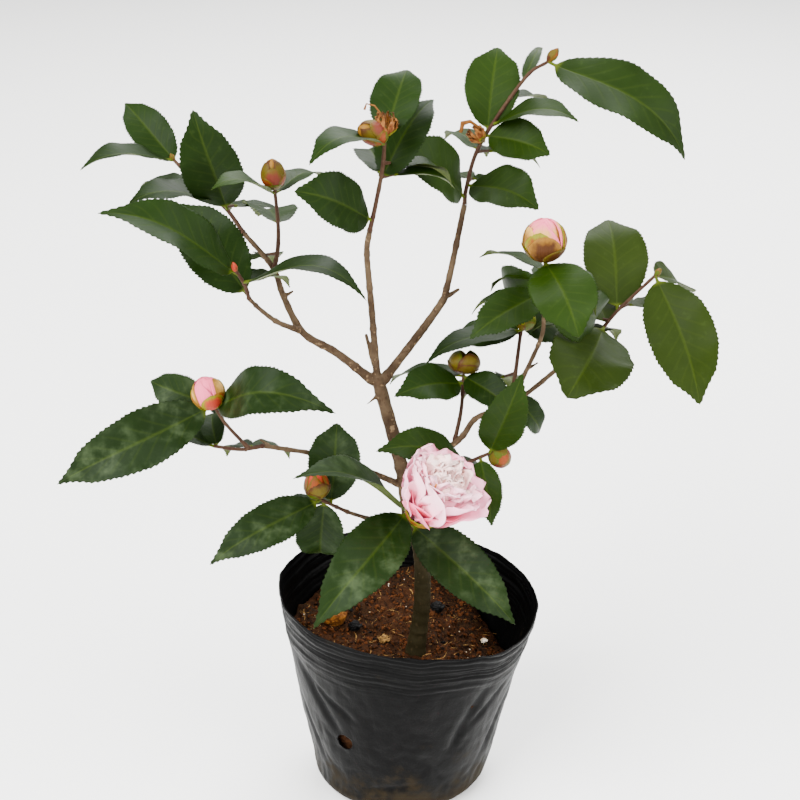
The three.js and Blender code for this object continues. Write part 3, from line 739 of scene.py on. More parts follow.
# Stubs of dead and pruned shoots: what carries it, how far along, bearing, rise, length, two diameters.
STUBS = [
    ("bough-centre", 0.0, 205, 76, 13, (2.4, 1.9)),
    ("trunk", 0.965, 200, -35, 7, (1.7, 0.4)),
    ("bough-upper-left", 0.6, 10, 30, 4, (1.6, 1.2)),
    ("bough-upper-right", 0.5, 30, 20, 7, (2.4, 1.8)),
    ("bough-right-upright", 0.42, 10, 30, 5, (1.5, 1.0)),
    ("bough-lower-left", 0.95, 165, 30, 5, (1.5, 1.1)),
]
COLLAR = 0.30
COLLAR_RUN = 2.6
BUD_RING = {"apart": 23.0, "swell": 0.32, "run": 0.7}
WAVER = 0.035
WOOD_STEP = 0.8
WOOD_SIDES = 16
WOOD_VOXEL = 0.00042
BARK = {"Lumps": 0.00022, "Grain": 0.00010}
BARK_TAN = colour(80, 65, 48)
BARK_BROWN = colour(52, 39, 27)
BARK_GREEN = colour(26, 24, 8)
BARK_PALE = colour(140, 114, 84)
BARK_FLECK = colour(38, 22, 13)
BARK_CLOUDS = (70.0, 3.0, 0.6, 0.30, 0.70)
BARK_FLECKS = (520.0, 3.0, 0.65, 0.52, 0.70, (1.0, 1.0, 0.5))
BARK_SPOTS = (340.0, 2.0, 0.5, 0.60, 0.72)
GREEN_TOP = 0.205      # metres above the floor where the green film on the bark ends
GREEN_FADE = 0.045


def heading(bearing, rise):
    turn = math.radians(bearing)
    lift = math.radians(rise)
    return Vector((math.cos(turn) * math.cos(lift), math.sin(turn) * math.cos(lift), math.sin(lift)))


def chance(key):
    """The same number from 0 to 1 each time for the same key."""
    mixed = math.sin(key * 12.9898) * 43758.5453
    return mixed - math.floor(mixed)


class Limb:
    """A tapering limb along its legs: where it runs and how thick it is, from 0 at its base to 1."""

    def __init__(self, start, legs, diameters, flare=0.0):
        self.points = [Vector(start)]
        for bearing, rise, length in legs:
            self.points.append(self.points[-1] + heading(bearing, rise) * length)
        self.diameters = diameters
        self.flare = flare
        self.length = sum(leg[2] for leg in legs)

    def place(self, t):
        """A smooth bend through the ends of the legs."""
        legs = len(self.points) - 1
        k = min(int(t * legs), legs - 1)
        share = t * legs - k
        first, second = self.points[k], self.points[k + 1]
        before = self.points[k - 1] if k > 0 else first * 2 - second
        after = self.points[k + 2] if k + 2 <= legs else second * 2 - first
        leave, arrive = (second - before) * 0.5, (after - first) * 0.5
        return (first + leave * share + (second * 3 - first * 3 - leave * 2 - arrive) * share ** 2
                + (first * 2 - second * 2 + leave + arrive) * share ** 3)

    def tangent(self, t):
        low, high = max(0.0, t - 0.001), min(1.0, t + 0.001)
        return (self.place(high) - self.place(low)).normalized()

    def radius(self, t):
        first, last = self.diameters
        return (first + (last - first) * t + self.flare * math.exp(-t * self.length / TRUNK_FLARE_RUN)) / 2


def grow_from(parent, at, legs, diameters):
    """A limb whose base stands just off what carries it."""
    direction = heading(*legs[0][:2])
    tangent = parent.tangent(at)
    if at == 1:
        away = CLEAR / direction.dot(tangent)
    else:
        away = (parent.radius(at) + CLEAR) / (direction - tangent * direction.dot(tangent)).length
    return Limb(parent.place(at) + direction * away, legs, diameters)


def wood_line(limb, root=None, ringed=True, key=0.0):
    """Points and radii down a limb: a collar at its base, bud rings, and a root in what carries it."""
    count = max(4, int(limb.length / WOOD_STEP))
    line = []
    if root is not None:
        line.append((root, limb.radius(0) * 0.8))
    for k in range(count + 1):
        t = k / count
        walked = t * limb.length
        radius = limb.radius(t)
        if root is not None:
            radius += radius * COLLAR * math.exp(-walked / COLLAR_RUN)
        if ringed:
            ring_gap = BUD_RING["apart"] * (0.8 + 0.5 * chance(key))
            off_ring = (walked + ring_gap * chance(key + 0.3)) % ring_gap - ring_gap / 2
            radius += BUD_RING["swell"] * math.exp(-(off_ring / BUD_RING["run"]) ** 2)
            radius *= 1 + WAVER * math.sin(walked * 0.9 + key * 3)
        line.append((limb.place(t), radius))
    return line


def wood_curve(name, lines):
    """A curve with one open strand for each limb, its radii in metres."""
    curve = bpy.data.curves.new(name, "CURVE")
    curve.dimensions = "3D"
    for line in lines:
        strand = curve.splines.new("POLY")
        strand.points.add(len(line) - 1)
        for spot, (place, radius) in zip(strand.points, line):
            spot.co = (*(place * MM), 1.0)
            spot.radius = radius * MM
    return curve


def make_sweep_tree():
    """A round limb along every strand, as thick as the strand says, closed at both ends."""
    tree, source, given = new_tree("wood-sweep", ["Sides"])
    sides = put(tree, "GeometryNodeCurvePrimitiveCircle",
                {"Resolution": sum_of(tree, "ROUND", given["Sides"]), "Radius": 1.0})
    thickness = put(tree, "GeometryNodeInputRadius")
    swept = put(tree, "GeometryNodeCurveToMesh",
                {"Curve": source.outputs["Geometry"], "Profile Curve": sides.outputs["Curve"],
                 "Scale": thickness.outputs[0], "Fill Caps": True})
    end_tree(tree, swept.outputs[0], source)
    return tree


def make_bark_tree():
    """Lumps and fine grain raised along the face of the wood."""
    tree, source, given = new_tree("bark-relief", list(BARK))
    lumps = sway_at(tree, here(tree), 190.0, 2.0, 0.5)
    grain = sway_at(tree, here(tree), 900.0, 2.0, 0.6, (1.0, 1.0, 0.45))
    rise = lumps * given["Lumps"] * 2.0 + grain * given["Grain"] * 2.0
    outward = vector_work(tree, "SCALE", put(tree, "GeometryNodeInputNormal").outputs[0], rise)
    raised = put(tree, "GeometryNodeSetPosition", {"Geometry": source.outputs["Geometry"], "Offset": outward})
    end_tree(tree, raised.outputs[0], source)
    return tree


def make_bark_finish():
    finish, tree, shader = new_finish("camellia-bark", Roughness=0.72, Specular_IOR_Level=0.06)
    place = own_place(tree)
    height = split(tree, place)[2]
    cloud = patches(tree, place, *BARK_CLOUDS)
    fleck = patches(tree, place, *BARK_FLECKS)
    pale = patches(tree, place, *BARK_SPOTS)
    wood = tint(tree, cloud, BARK_TAN, BARK_BROWN)
    wood = tint(tree, pale * 0.45, wood, BARK_PALE)
    wood = tint(tree, fleck * 0.55, wood, BARK_FLECK)
    low = 1.0 - step_up(height + sway_at(tree, place, 55.0) * 0.05, GREEN_TOP - GREEN_FADE, GREEN_TOP)
    wood = tint(tree, low * 0.85, wood, BARK_GREEN)
    feed(tree, shader, "Base Color", wood)
    grain = noise_at(tree, place, 1300.0, 3.0, 0.6, (1.0, 1.0, 0.35))
    raise_by(tree, shader, grain + fleck * 0.4, 0.00025, 0.7)
    return finish


limbs = {"trunk": Limb(TRUNK["foot"], TRUNK["legs"], TRUNK["diameters"], TRUNK_FLARE)}
trunk_line = wood_line(limbs["trunk"], key=0.4)
trunk_line.insert(0, (trunk_line[0][0] - Vector((0, 0, TRUNK_SUNK)), trunk_line[0][1]))
wood_lines = [trunk_line]
for bough_name, (carrier, at, diameters, legs) in BOUGHS.items():
    limbs[bough_name] = grow_from(limbs[carrier], at, legs, diameters)
    wood_lines.append(wood_line(limbs[bough_name], limbs[carrier].place(at), key=len(wood_lines) * 1.7))
for carrier, at, bearing, rise, length, diameters in STUBS:
    stub = grow_from(limbs[carrier], max(at, 0.001), [(bearing, rise, length)], diameters)
    wood_lines.append(wood_line(stub, limbs[carrier].place(at), ringed=False))

sweep_tree = make_sweep_tree()
bark_finish = make_bark_finish()
wood_start = start_from(sweep_tree, {"Sides": WOOD_SIDES}, wood_curve("wood-lines", wood_lines))
wood_core = keep_as("wood-core", wood_start)
remesh = wood_core.modifiers.new("joined", "REMESH")
remesh.mode = "VOXEL"
remesh.voxel_size = WOOD_VOXEL
soften = wood_core.modifiers.new("soften", "SMOOTH")
soften.factor = 0.5
soften.iterations = 6
put_on(wood_core, make_bark_tree(), {**BARK, "Finish": bark_finish})
trunk_and_boughs = keep_as("trunk-and-boughs", wood_core)
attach(trunk_and_boughs, "root")
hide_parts(*limbs)

# ---------------------------------------------------------------- twigs
# This year's and last year's shoots that carry the sprays: thin and brown, flushed red in places, with a
# ring at the foot of each year's growth. Each spray has its stem, and on its far side a few short shoots.

# Sprays. stem: carrier, place on it, legs. leaves: place on the stem, bearing, rise, length, lean of the
# upper side towards the front and width over length, then roll and bow where they aren't the usual 0 and 1.
# buds: place, bearing, rise, length, diameter. twig: a side twig with leaves and buds of its own.
SPRAYS = {
    "far-left": {
        "stem": ("bough-far-left", 1, [(250, 64, 10), (235, 56, 12)]), "seed": 11, "shoots": [56, 190],
        "leaves": [(0.85, 196, 33, 77, 30, 0.42), (0.1, 148, 45, 60, 60, 0.6),
                   (0.6, -22, 2, 68, 0, 0.42, 0, 1.4)],
        "buds": [(1, 230, 70, 6, 3)]},
    "left-bud": {
        "stem": ("bough-upper-left", 0.78, [(-50, 74, 12), (-80, 74, 16), (-95, 70, 23)]), "seed": 37,
        "shoots": [318],
        "leaves": [(0.95, 222, 17, 41, 10, 0.5), (0.66, 106, -8, 50, 8, 0.66, 12, 0.5),
                   (0.95, 57, -3, 46, -5, 0.45)],
        "buds": [(1, -100, 75, 18, 13)]},
    "rear-left": {
        "stem": ("bough-upper-left", 1, [(140, 40, 17), (144, 25, 19), (148, 36, 22)]), "seed": 23,
        "shoots": [399, 392],
        "leaves": [(1, 206, 4, 52, 5, 0.46), (0.97, 137, 32, 49, 50, 0.5), (0.3, 234, 68, 62, 80, 0.58),
                   (0.46, 212, 11, 51, 10, 0.58)],
        "buds": [(1, 150, 60, 5, 2.6)]},
    "top-centre": {
        "stem": ("bough-centre", 1, [(-18, 77, 14), (-45, 76, 23), (-63, 82, 17)]), "seed": 41,
        "shoots": [394, 64],
        "leaves": [(0.15, 211, 28, 49, 50, 0.68), (0.97, 70, 42, 43, 10, 0.68, 0, 0.3),
                   (0.55, 51, 39, 55, 35, 0.5), (0.6, 102, -1, 44, 30, 0.5),
                   (0.9, 222, 4, 48, 5, 0.56, 0, 1.3)],
        "buds": [(0.97, 215, 27, 18, 13), (1, -60, 80, 13, 11)]},
    "upper-right": {
        "stem": ("bough-upper-right", 1, [(70, 71, 9), (40, 67, 24), (19, 54, 42), (17, 33, 16)]), "seed": 53,
        "shoots": [376, 354, 243],
        "leaves": [(0.12, 213, 35, 58, 45, 0.62, 0, 1.5), (0.27, -35, -5, 45, 38, 0.72, 0, 1.3),
                   (0.48, 114, -6, 42, 0, 0.4), (0.54, -30, -6, 38, 55, 0.7),
                   (0.58, -25, 11, 49, 15, 0.5, 0, 1.7), (0.55, 76, 59, 48, 60, 0.7),
                   (0.74, 69, 20, 38, 20, 0.22), (1, -15, -30, 91, 35, 0.44, 0, 1.7)],
        "buds": [(1, 17, 50, 10, 5.6), (0.52, 184, 46, 11, 9.5)]},
    "right-end": {
        "stem": ("bough-lower-right", 1, [(18, 41, 14), (22, 45, 15), (22, 38, 27)]), "seed": 61,
        "shoots": [397, 356, 394],
        "leaves": [(0.64, 92, 40, 60, 0, 0.68), (0.38, -116, -21, 57, 58, 0.88), (0.45, 99, 10, 40, 45, 0.7),
                   (1, -59, -53, 75, 68, 0.56, 0, 1.3), (1, 59, -29, 49, 32, 0.58),
                   (0.1, 66, -52, 43, 20, 0.5)],
        "buds": [(1, 25, 45, 6, 3.4)]},
    "right-bud": {
        "stem": ("bough-right-upright", 1, [(-90, 82, 17), (-115, 81, 17)]), "seed": 71,
        "shoots": [398, 393, 388],
        "leaves": [(0.95, -72, -26, 51, 52, 0.74, 0, 1.3), (0.8, 135, -4, 46, -20, 0.45),
                   (0.45, 217, -14, 51, 40, 0.5), (0.4, 116, -17, 50, 72, 0.62),
                   (0.3, 49, -27, 58, 78, 0.6)],
        "buds": [(1, -110, 80, 24, 22.5)]},
    "middle-bud": {
        "stem": ("bough-lower-right", 0.7, [(76, 35, 17), (77, 50, 23), (45, 60, 4)]), "seed": 83,
        "shoots": [399, 246],
        "leaves": [(0.92, 205, -5, 61, 5, 0.4), (0.75, 140, -22, 42, 42, 0.5), (0.9, 55, -16, 44, 55, 0.54),
                   (0.95, 99, 2, 38, 10, 0.5), (0.1, 24, -54, 35, 40, 0.52)],
        "buds": [(1, 60, 65, 13, 12.5)]},
    "open-bud": {
        "stem": ("bough-lower-right", 0.22, [(70, 54, 17), (82, 62, 20)]), "seed": 97, "shoots": [244],
        "leaves": [(0.85, 216, 8, 45, 40, 0.6), (0.95, 141, -17, 56, 0, 0.42),
                   (0.95, -41, -16, 35, 50, 0.62)],
        "buds": [(1, 70, 75, 14, 19)]},
    "behind-bloom": {
        "stem": ("trunk", 0.72, [(-6, 22, 16), (0, 34, 16), (0, 26, 18)]), "seed": 103, "shoots": [360, 83],
        "leaves": [(0.95, -49, 67, 59, 75, 0.46), (0.7, 206, 22, 56, 35, 0.5), (0.85, -73, -56, 38, 60, 0.5)],
        "buds": [(1, 45, -45, 16, 12.5)]},
    "low-front": {
        "stem": ("bough-low-front", 1, [(204, 35, 12), (207, 37, 9)]), "seed": 127, "shoots": [398],
        "leaves": [(0.5, 82, 60, 44, 60, 0.72), (0.9, 207, -18, 68, 45, 0.4), (0.75, 103, -70, 46, 60, 0.66)],
        "buds": [(1, 250, 78, 19, 14.5)]},
    "lower-left": {
        "stem": ("bough-lower-left", 1, [(200, 0, 12), (196, 15, 15)]), "seed": 113, "shoots": [42],
        "leaves": [(0.95, 99, 11, 32, 60, 0.5), (1, 141, -9, 37, 10, 0.4)],
        "buds": [],
        "twig": (0.33, [(209, 54, 21), (205, 62, 14)]),
        "twig leaves": [(1, 197, -21, 90, 55, 0.38), (1, 162, 14, 37, 70, 0.6),
                        (1, -18, 5, 67, 45, 0.46, 0, 3.2), (0.75, 93, -12, 30, 30, 0.6)],
        "twig buds": [(1, 220, 70, 19, 17.5)]},
    "bloom": {
        "stem": ("trunk", 0.57, [(-98, 38, 15), (-86, 50, 15), (-75, -10, 10)]), "seed": 131, "shoots": [],
        "leaves": [(0.55, 215, 31, 82, 10, 0.38), (0.6, 229, -26, 83, 45, 0.44),
                   (0.12, -38, -27, 80, 45, 0.42)],
        "buds": []},
}
STEM_TIP = 1.8
TWIG_TIP = 1.5
# The far side's shoots: middle and spread of their bearings, droop, length, leaf length and its splay.
SHOOT = {"middle": 90, "spread": 100, "droop": 30, "length": 10, "more": 6, "leaf": 30, "leaf more": 10,
         "splay": 38}
TWIG_SIDES = 10
TWIG_STEP = 0.9
TWIG_BROWN = colour(62, 44, 31)
TWIG_RED = colour(50, 30, 21)
TWIG_PALE = colour(100, 80, 62)
TWIG_CLOUDS = (160.0, 3.0, 0.6, 0.32, 0.68)
TWIG_SPOTS = (700.0, 2.0, 0.6, 0.60, 0.74)
YEAR_RING = {"swell": 0.35, "run": 1.3}


def twig_line(limb, root, key):
    """A stem with a ring at its base, where last year's bud scales fell, and small swells at its leaves."""
    count = max(4, int(limb.length / TWIG_STEP))
    line = [(root, limb.radius(0) * 0.9)]
    for k in range(count + 1):
        t = k / count
        walked = t * limb.length
        swell = (YEAR_RING["swell"] * math.exp(-(walked / YEAR_RING["run"]) ** 2)
                 + 0.13 * max(0.0, math.sin(walked * 0.42 + key)) ** 8)
        line.append((limb.place(t), limb.radius(t) + swell))
    return line


def grow_shoots(stem, spray):
    """The rule for the far side: each shoot grown by chance from its own key, with two small leaves."""
    grown = []
    for key in spray["shoots"]:
        bearing = SHOOT["middle"] + SHOOT["spread"] * (chance(key) - 0.5)
        rise = -SHOOT["droop"] * (1 - chance(key + 0.2))
        length = SHOOT["length"] + SHOOT["more"] * chance(key + 0.7)
        twig = Limb(stem.place(0.2 + 0.5 * chance(key + 0.4)), [(bearing, rise, length)], (2.0, TWIG_TIP))
        leaves = []
        for side in (-1, 1):
            blade = SHOOT["leaf"] + SHOOT["leaf more"] * chance(key + side * 0.3)
            leaves.append(((0.9, bearing + side * SHOOT["splay"], rise - 8, blade, 0, 0.5), key + side * 0.1))
        grown.append((twig, leaves))
    return grown


def make_twig_finish():
    finish, tree, shader = new_finish("twig-skin", Roughness=0.62, Specular_IOR_Level=0.08)
    place = own_place(tree)
    cloud = patches(tree, place, *TWIG_CLOUDS)
    skin = tint(tree, cloud, TWIG_BROWN, TWIG_RED)
    pale = patches(tree, place, *TWIG_SPOTS)
    skin = tint(tree, pale * 0.4, skin, TWIG_PALE)
    feed(tree, shader, "Base Color", skin)
    raise_by(tree, shader, noise_at(tree, place, 1600.0, 3.0, 0.6, (1.0, 1.0, 0.4)), 0.0002, 0.6)
    return finish


# stems: each spray's stem, its leaves with the limb and the key of each, and its buds with their limbs
stems = {}
twig_lines = []
for spray_name, spray in SPRAYS.items():
    carrier, at, legs = spray["stem"]
    carrier_limb = limbs[carrier]
    thick = min(2.6, 1.8 * carrier_limb.radius(at))
    stem = grow_from(carrier_limb, at, legs, (thick, STEM_TIP))
    twig_lines.append(twig_line(stem, carrier_limb.place(at), spray["seed"]))
    carried = [(stem, leaf, spray["seed"] + k) for k, leaf in enumerate(spray["leaves"])]
    budded = [(stem, bud) for bud in spray["buds"]]
    if "twig" in spray:
        twig_at, twig_legs = spray["twig"]
        side_twig = Limb(stem.place(twig_at), twig_legs, (2.2, TWIG_TIP))
        twig_lines.append(twig_line(side_twig, stem.place(twig_at), spray["seed"] + 0.5))
        first_key = spray["seed"] + len(spray["leaves"])
        carried += [(side_twig, leaf, first_key + k) for k, leaf in enumerate(spray["twig leaves"])]
        budded += [(side_twig, bud) for bud in spray["twig buds"]]
    for shoot, shoot_leaves in grow_shoots(stem, spray):
        twig_lines.append(twig_line(shoot, shoot.place(0), 0.0))
        carried += [(shoot, leaf, key) for leaf, key in shoot_leaves]
    stems[spray_name] = {"stem": stem, "leaves": carried, "buds": budded}

twig_sizes = {"Sides": TWIG_SIDES, "Finish": make_twig_finish()}
twigs = keep_as("twigs", start_from(sweep_tree, twig_sizes, wood_curve("twig-lines", twig_lines)))
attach(twigs, "root")

# ---------------------------------------------------------------- leaves
# Leathery oval leaves with a drawn-out tip, finely toothed edges and a short thick stalk. The upper side
# is dark and polished with a pale sunken midrib; the underside is dull grey-green with the midrib proud.

LEAF_SIDES = 24
LEAF_ROWS = 112
LEAF = {
    "Petiole": 0.05,
    "Stalk": 0.0009,
    "Thickness": 0.00042,
    "Teeth": 28.0,
    "Tooth": 0.00105,
    "Midrib": 0.00055,
}
LEAF_ARCH = 0.1
LEAF_FOLD = 0.22
# Tones by spray: painted shade on the left and behind, painted fuller light on the right, hard-water marks
# low in front.
# The deep and mid tones are darker copies of one leaf colour standing for shade; the olive tone is a lighter
# copy standing for light.
LEAF_TONES = {
    "deep": (colour(8, 20, 1), colour(20, 38, 3), 0.0),
    "mid": (colour(13, 27, 1), colour(27, 45, 4), 0.0),
    "olive": (colour(18, 30, 1), colour(35, 48, 5), 0.0),
    "marked": (colour(9, 22, 2), colour(19, 35, 6), 1.0),
}
SPRAY_TONES = {
    "far-left": "deep", "left-bud": "mid", "rear-left": "deep", "top-centre": "deep", "upper-right": "mid",
    "right-end": "olive", "right-bud": "mid", "middle-bud": "deep", "open-bud": "deep",
    "behind-bloom": "mid", "low-front": "marked", "lower-left": "marked", "bloom": "marked",
}
MIDRIB_GREEN = colour(72, 88, 18)
UNDER_GREEN = colour(66, 76, 32)
UNDER_SHADE = colour(52, 64, 25)
UNDER_VEIN = colour(92, 100, 46)
STALK_GREEN = colour(64, 74, 12)
LIME_MARK = colour(84, 98, 68)
LEAF_DUST = colour(62, 78, 36)
LIME_BLOTCHES = (120.0, 3.0, 0.55, 0.42, 0.78)
LIME_SMEARS = (48.0, 2.0, 0.5, 0.34, 0.66)
DUST_PATCHES = (240.0, 3.0, 0.6, 0.58, 0.80)
SIDE_VEINS = 9.5       # pairs of side veins, counted past the tip
HALF_TURN = 3.14159    # in radians


def part_of(term):
    """What is left of a number after its whole part."""
    return sum_of(term.tree, "FRACT", term)


def vector_sum(tree, base, *moves):
    """A place moved along some directions, each by its own distance."""
    for direction, distance in moves:
        base = vector_work(tree, "ADD", base, vector_work(tree, "SCALE", direction, distance))
    return base


def named_number(tree, name):
    node = put(tree, "GeometryNodeInputNamedAttribute", {"Name": name}, data_type="FLOAT")
    return Term(tree, node.outputs[0])


def named_vector(tree, name):
    return put(tree, "GeometryNodeInputNamedAttribute", {"Name": name}, data_type="FLOAT_VECTOR").outputs[0]


def make_blade_tree(name, sizes, sides, rows, rule):
    """One closed blade for each starting point. `rule` says where a point of it lies: `t` goes from 0 at the
    foot to 1 at the tip, `x` from -1 to 1 across, and `z` is positive on the upper side."""
    tree, source, given = new_tree(name, sizes)
    tube = put(tree, "GeometryNodeMeshCylinder",
               {"Vertices": sides, "Side Segments": rows, "Radius": 1.0, "Depth": 1.0},
               fill_type="TRIANGLE_FAN")
    round_x, round_y, height = split(tree, here(tree))
    shape = tube.outputs["Mesh"]
    for part, value in (("t", height + 0.5), ("x", round_x), ("z", round_y)):
        shape = put(tree, "GeometryNodeStoreNamedAttribute",
                    {"Geometry": shape, "Name": part, "Value": value}).outputs[0]
    spread = put(tree, "GeometryNodeInstanceOnPoints",
                 {"Points": source.outputs["Geometry"], "Instance": shape})
    real = put(tree, "GeometryNodeRealizeInstances", {"Geometry": spread.outputs[0]})
    t, x, z = (named_number(tree, part) for part in ("t", "x", "z"))
    along = named_vector(tree, "along")
    over = named_vector(tree, "over")
    across = vector_work(tree, "CROSS_PRODUCT", over, along)
    onward, aside, lift = rule(tree, given, t, x, z)
    place = vector_sum(tree, named_vector(tree, "foot"), (along, onward), (across, aside), (over, lift))
    smooth = put(tree, "GeometryNodeSetShadeSmooth", {"Geometry": moved(tree, real.outputs[0], place)})
    upper = put(tree, "GeometryNodeSetMaterial",
                {"Geometry": smooth.outputs[0], "Material": source.outputs["Finish"]})
    beneath = put(tree, "FunctionNodeCompare", {0: z, 1: 0.0}, data_type="FLOAT", operation="LESS_THAN")
    lower = put(tree, "GeometryNodeSetMaterial",
                {"Geometry": upper.outputs[0], "Selection": beneath.outputs[0],
                 "Material": source.outputs["Second Finish"]})
    put(tree, "NodeGroupOutput", {0: lower.outputs[0]})
    return tree


def leaf_rule(tree, given, t, x, z):
    """A toothed oval with a drawn-out tip, folded up along its midrib, bowed, and a little wavy."""
    length, width, key = split(tree, named_vector(tree, "size"))
    arch, fold, wave = split(tree, named_vector(tree, "bend"))
    # the outline: u runs along the blade alone; a broader leaf is blunter, and all are drawn out to a tip
    petiole = given["Petiole"]
    u = greater((t - petiole) / (1.0 - petiole), 0.0)
    blunt = 1.20 - width / length * 0.9 + part_of(key * 0.37) * 0.10
    oval = u ** 0.62 * (1.0 - u) ** blunt / (0.660 * 0.55 ** blunt)
    drawn_out = 0.96 - 0.36 * step_up(u, 0.78, 0.97)
    on_blade = step_up(u, 0.0, 0.05)
    near_edge = size_of(x) ** 14.0
    tooth = (part_of(u * given["Teeth"] + 0.5) - 0.5) * given["Tooth"] * on_blade * near_edge
    half = greater(width * 0.5 * oval * drawn_out, given["Stalk"] * (1.0 - step_up(t, 0.1, 0.5) * 0.8))
    # the lift: bowed along, folded up from the midrib, wavy towards the rim, and drooping at the tip
    bunched = x * size_of(x) ** 0.6
    rim = size_of(bunched)
    bow = t ** 1.5 * (1.0 - t) / 0.186
    folded = fold * half * rim * lesser(t * 4.0, 1.0)
    turns = (u * 17.0 + key * 2.1) + bunched * 1.3
    waved = sine(turns) * wave * rim ** 2.0 * half * on_blade
    dished = sine(u * 5.2 + key) * 0.05 * half * rim
    tip_drop = u ** 5.0 * (part_of(key * 0.71) * 0.08 + 0.02) * length
    # the midrib is sunk above and proud beneath, and the stalk is round
    on_midrib = bell(bunched * half, given["Midrib"] * 1.6) * (1.0 - u * 0.8)
    round_stalk = given["Stalk"] * (1.0 - step_up(t, petiole * 0.8, petiole * 1.9))
    thick = greater(given["Thickness"] * 0.5, round_stalk)
    under = step_up(z, 0.0, -0.3)
    lift = (bow * arch * length + folded + waved + dished - tip_drop + z * thick
            - on_midrib * given["Midrib"] * (0.25 + under * 0.75) * on_blade)
    swing = sine(u * HALF_TURN) * (part_of(key * 0.53) - 0.5) * 0.05 * length
    aside = bunched * (half + tooth) + swing
    return length * t, aside, lift


def blade_starts(name, blades):
    """One bare point for each blade, with its directions and sizes on it."""
    mesh = bpy.data.meshes.new(name)
    mesh.from_pydata([blade["foot"] for blade in blades], [], [])
    for part in blades[0]:
        kind = "FLOAT_VECTOR" if len(blades[0][part]) == 3 else "FLOAT"
        values = mesh.attributes.new(part, kind, "POINT")
        field = "vector" if kind == "FLOAT_VECTOR" else "value"
        values.data.foreach_set(field, [number for blade in blades for number in blade[part]])
    return mesh


def place_leaf(stem, leaf, key):
    """Where one leaf starts and how it lies; its upper side faces up and leans to the front."""
    at, bearing, rise, length, lean, slender, roll, bowed = (*leaf, 0, 1)[:8]
    roll = math.radians(roll)
    along = heading(bearing, rise)
    face = heading(-90, 90 - lean)
    face = (face * math.cos(roll) + along.cross(face) * math.sin(roll)
            + along * along.dot(face) * (1 - math.cos(roll)))
    over = (face - along * face.dot(along)).normalized()
    return {
        "foot": stem.place(at) * MM,
        "along": along,
        "over": over,
        "size": (length * MM, length * slender * MM, key * 1.0),
        "bend": (LEAF_ARCH * bowed * (0.7 + 0.6 * chance(key)), LEAF_FOLD * (0.6 + 0.8 * chance(key + 0.5)),
                 0.025 + 0.045 * chance(key + 0.8)),
    }


def written_on(tree, names, socket):
    """What the shape tree wrote on each point, for a finish to read."""
    return [put(tree, "ShaderNodeAttribute", attribute_name=name).outputs[socket] for name in names]


def leaf_parts(tree):
    """What a leaf's finish reads: place along and across the blade, its width and its own number."""
    along, across = (Term(tree, part) for part in written_on(tree, ("t", "x"), "Fac"))
    _, width, key = split(tree, *written_on(tree, ("size",), "Vector"))
    return along, across * size_of(across) ** 0.6, width, key


def leaf_veins(tree, along, across, width):
    """The midrib, and side veins that run forward and fade before the edge."""
    off = size_of(across)
    midrib = bell(across * width * 0.5, 0.00038) + bell(across * width * 0.5, 0.0010) * 0.35
    side = put(tree, "ShaderNodeMath", {0: across, 1: 0.0}, operation="GREATER_THAN")
    count = (along - off ** 0.85 * 0.20) * SIDE_VEINS + Term(tree, side.outputs[0]) * 0.42
    nearest = size_of(part_of(count) - 0.5)
    line = 1.0 - step_up(nearest, 0.035, 0.16)
    fade = (1.0 - step_up(off, 0.45, 0.92)) * step_up(along, 0.10, 0.2)
    return midrib, line * fade


def make_leaf_finish(name, deep, light, marks):
    finish, tree, shader = new_finish(name, Roughness=0.45, Specular_IOR_Level=0.06)
    along, across, width, key = leaf_parts(tree)
    place = own_place(tree)
    midrib, veins = leaf_veins(tree, along, across, width)
    own_tone = part_of(key * 0.618)
    cloud = noise_at(tree, place, 60.0, 3.0, 0.55)
    blade = tint(tree, lesser(cloud * 0.75 + own_tone * 0.45 - 0.1, 1.0), deep, light)
    blade = tint(tree, veins * 0.04, blade, MIDRIB_GREEN)
    if marks:
        blotch = patches(tree, place, *LIME_BLOTCHES)
        smear = patches(tree, place, *LIME_SMEARS)
        blade = tint(tree, blotch * smear * 0.26, blade, LIME_MARK)
    else:
        blade = tint(tree, patches(tree, place, *DUST_PATCHES) * 0.12, blade, LEAF_DUST)
    blade = tint(tree, lesser(midrib, 1.0) * 0.13, blade, MIDRIB_GREEN)
    stalk = 1.0 - step_up(along, 0.05, 0.09)
    blade = tint(tree, stalk, blade, STALK_GREEN)
    feed(tree, shader, "Base Color", blade)
    feed(tree, shader, "Roughness", 0.42 + cloud * 0.14 + veins * 0.04)
    quilt = noise_at(tree, place, 420.0, 2.0, 0.5)
    raise_by(tree, shader, quilt * 0.40 - veins * 0.14 - midrib * 0.4, 0.00035, 0.5)
    return finish


def make_under_finish():
    finish, tree, shader = new_finish("leaf-under", Roughness=0.58, Specular_IOR_Level=0.08)
    along, across, width, _ = leaf_parts(tree)
    place = own_place(tree)
    midrib, veins = leaf_veins(tree, along, across, width)
    cloud = noise_at(tree, place, 90.0, 3.0, 0.55)
    blade = tint(tree, cloud, UNDER_GREEN, UNDER_SHADE)
    blade = tint(tree, lesser(midrib + veins * 0.35, 1.0) * 0.55, blade, UNDER_VEIN)
    blade = tint(tree, 1.0 - step_up(along, 0.05, 0.09), blade, STALK_GREEN)
    feed(tree, shader, "Base Color", blade)
    raise_by(tree, shader, veins * 0.6 + midrib + noise_at(tree, place, 700.0, 2.0) * 0.4, 0.0003, 0.6)
    return finish


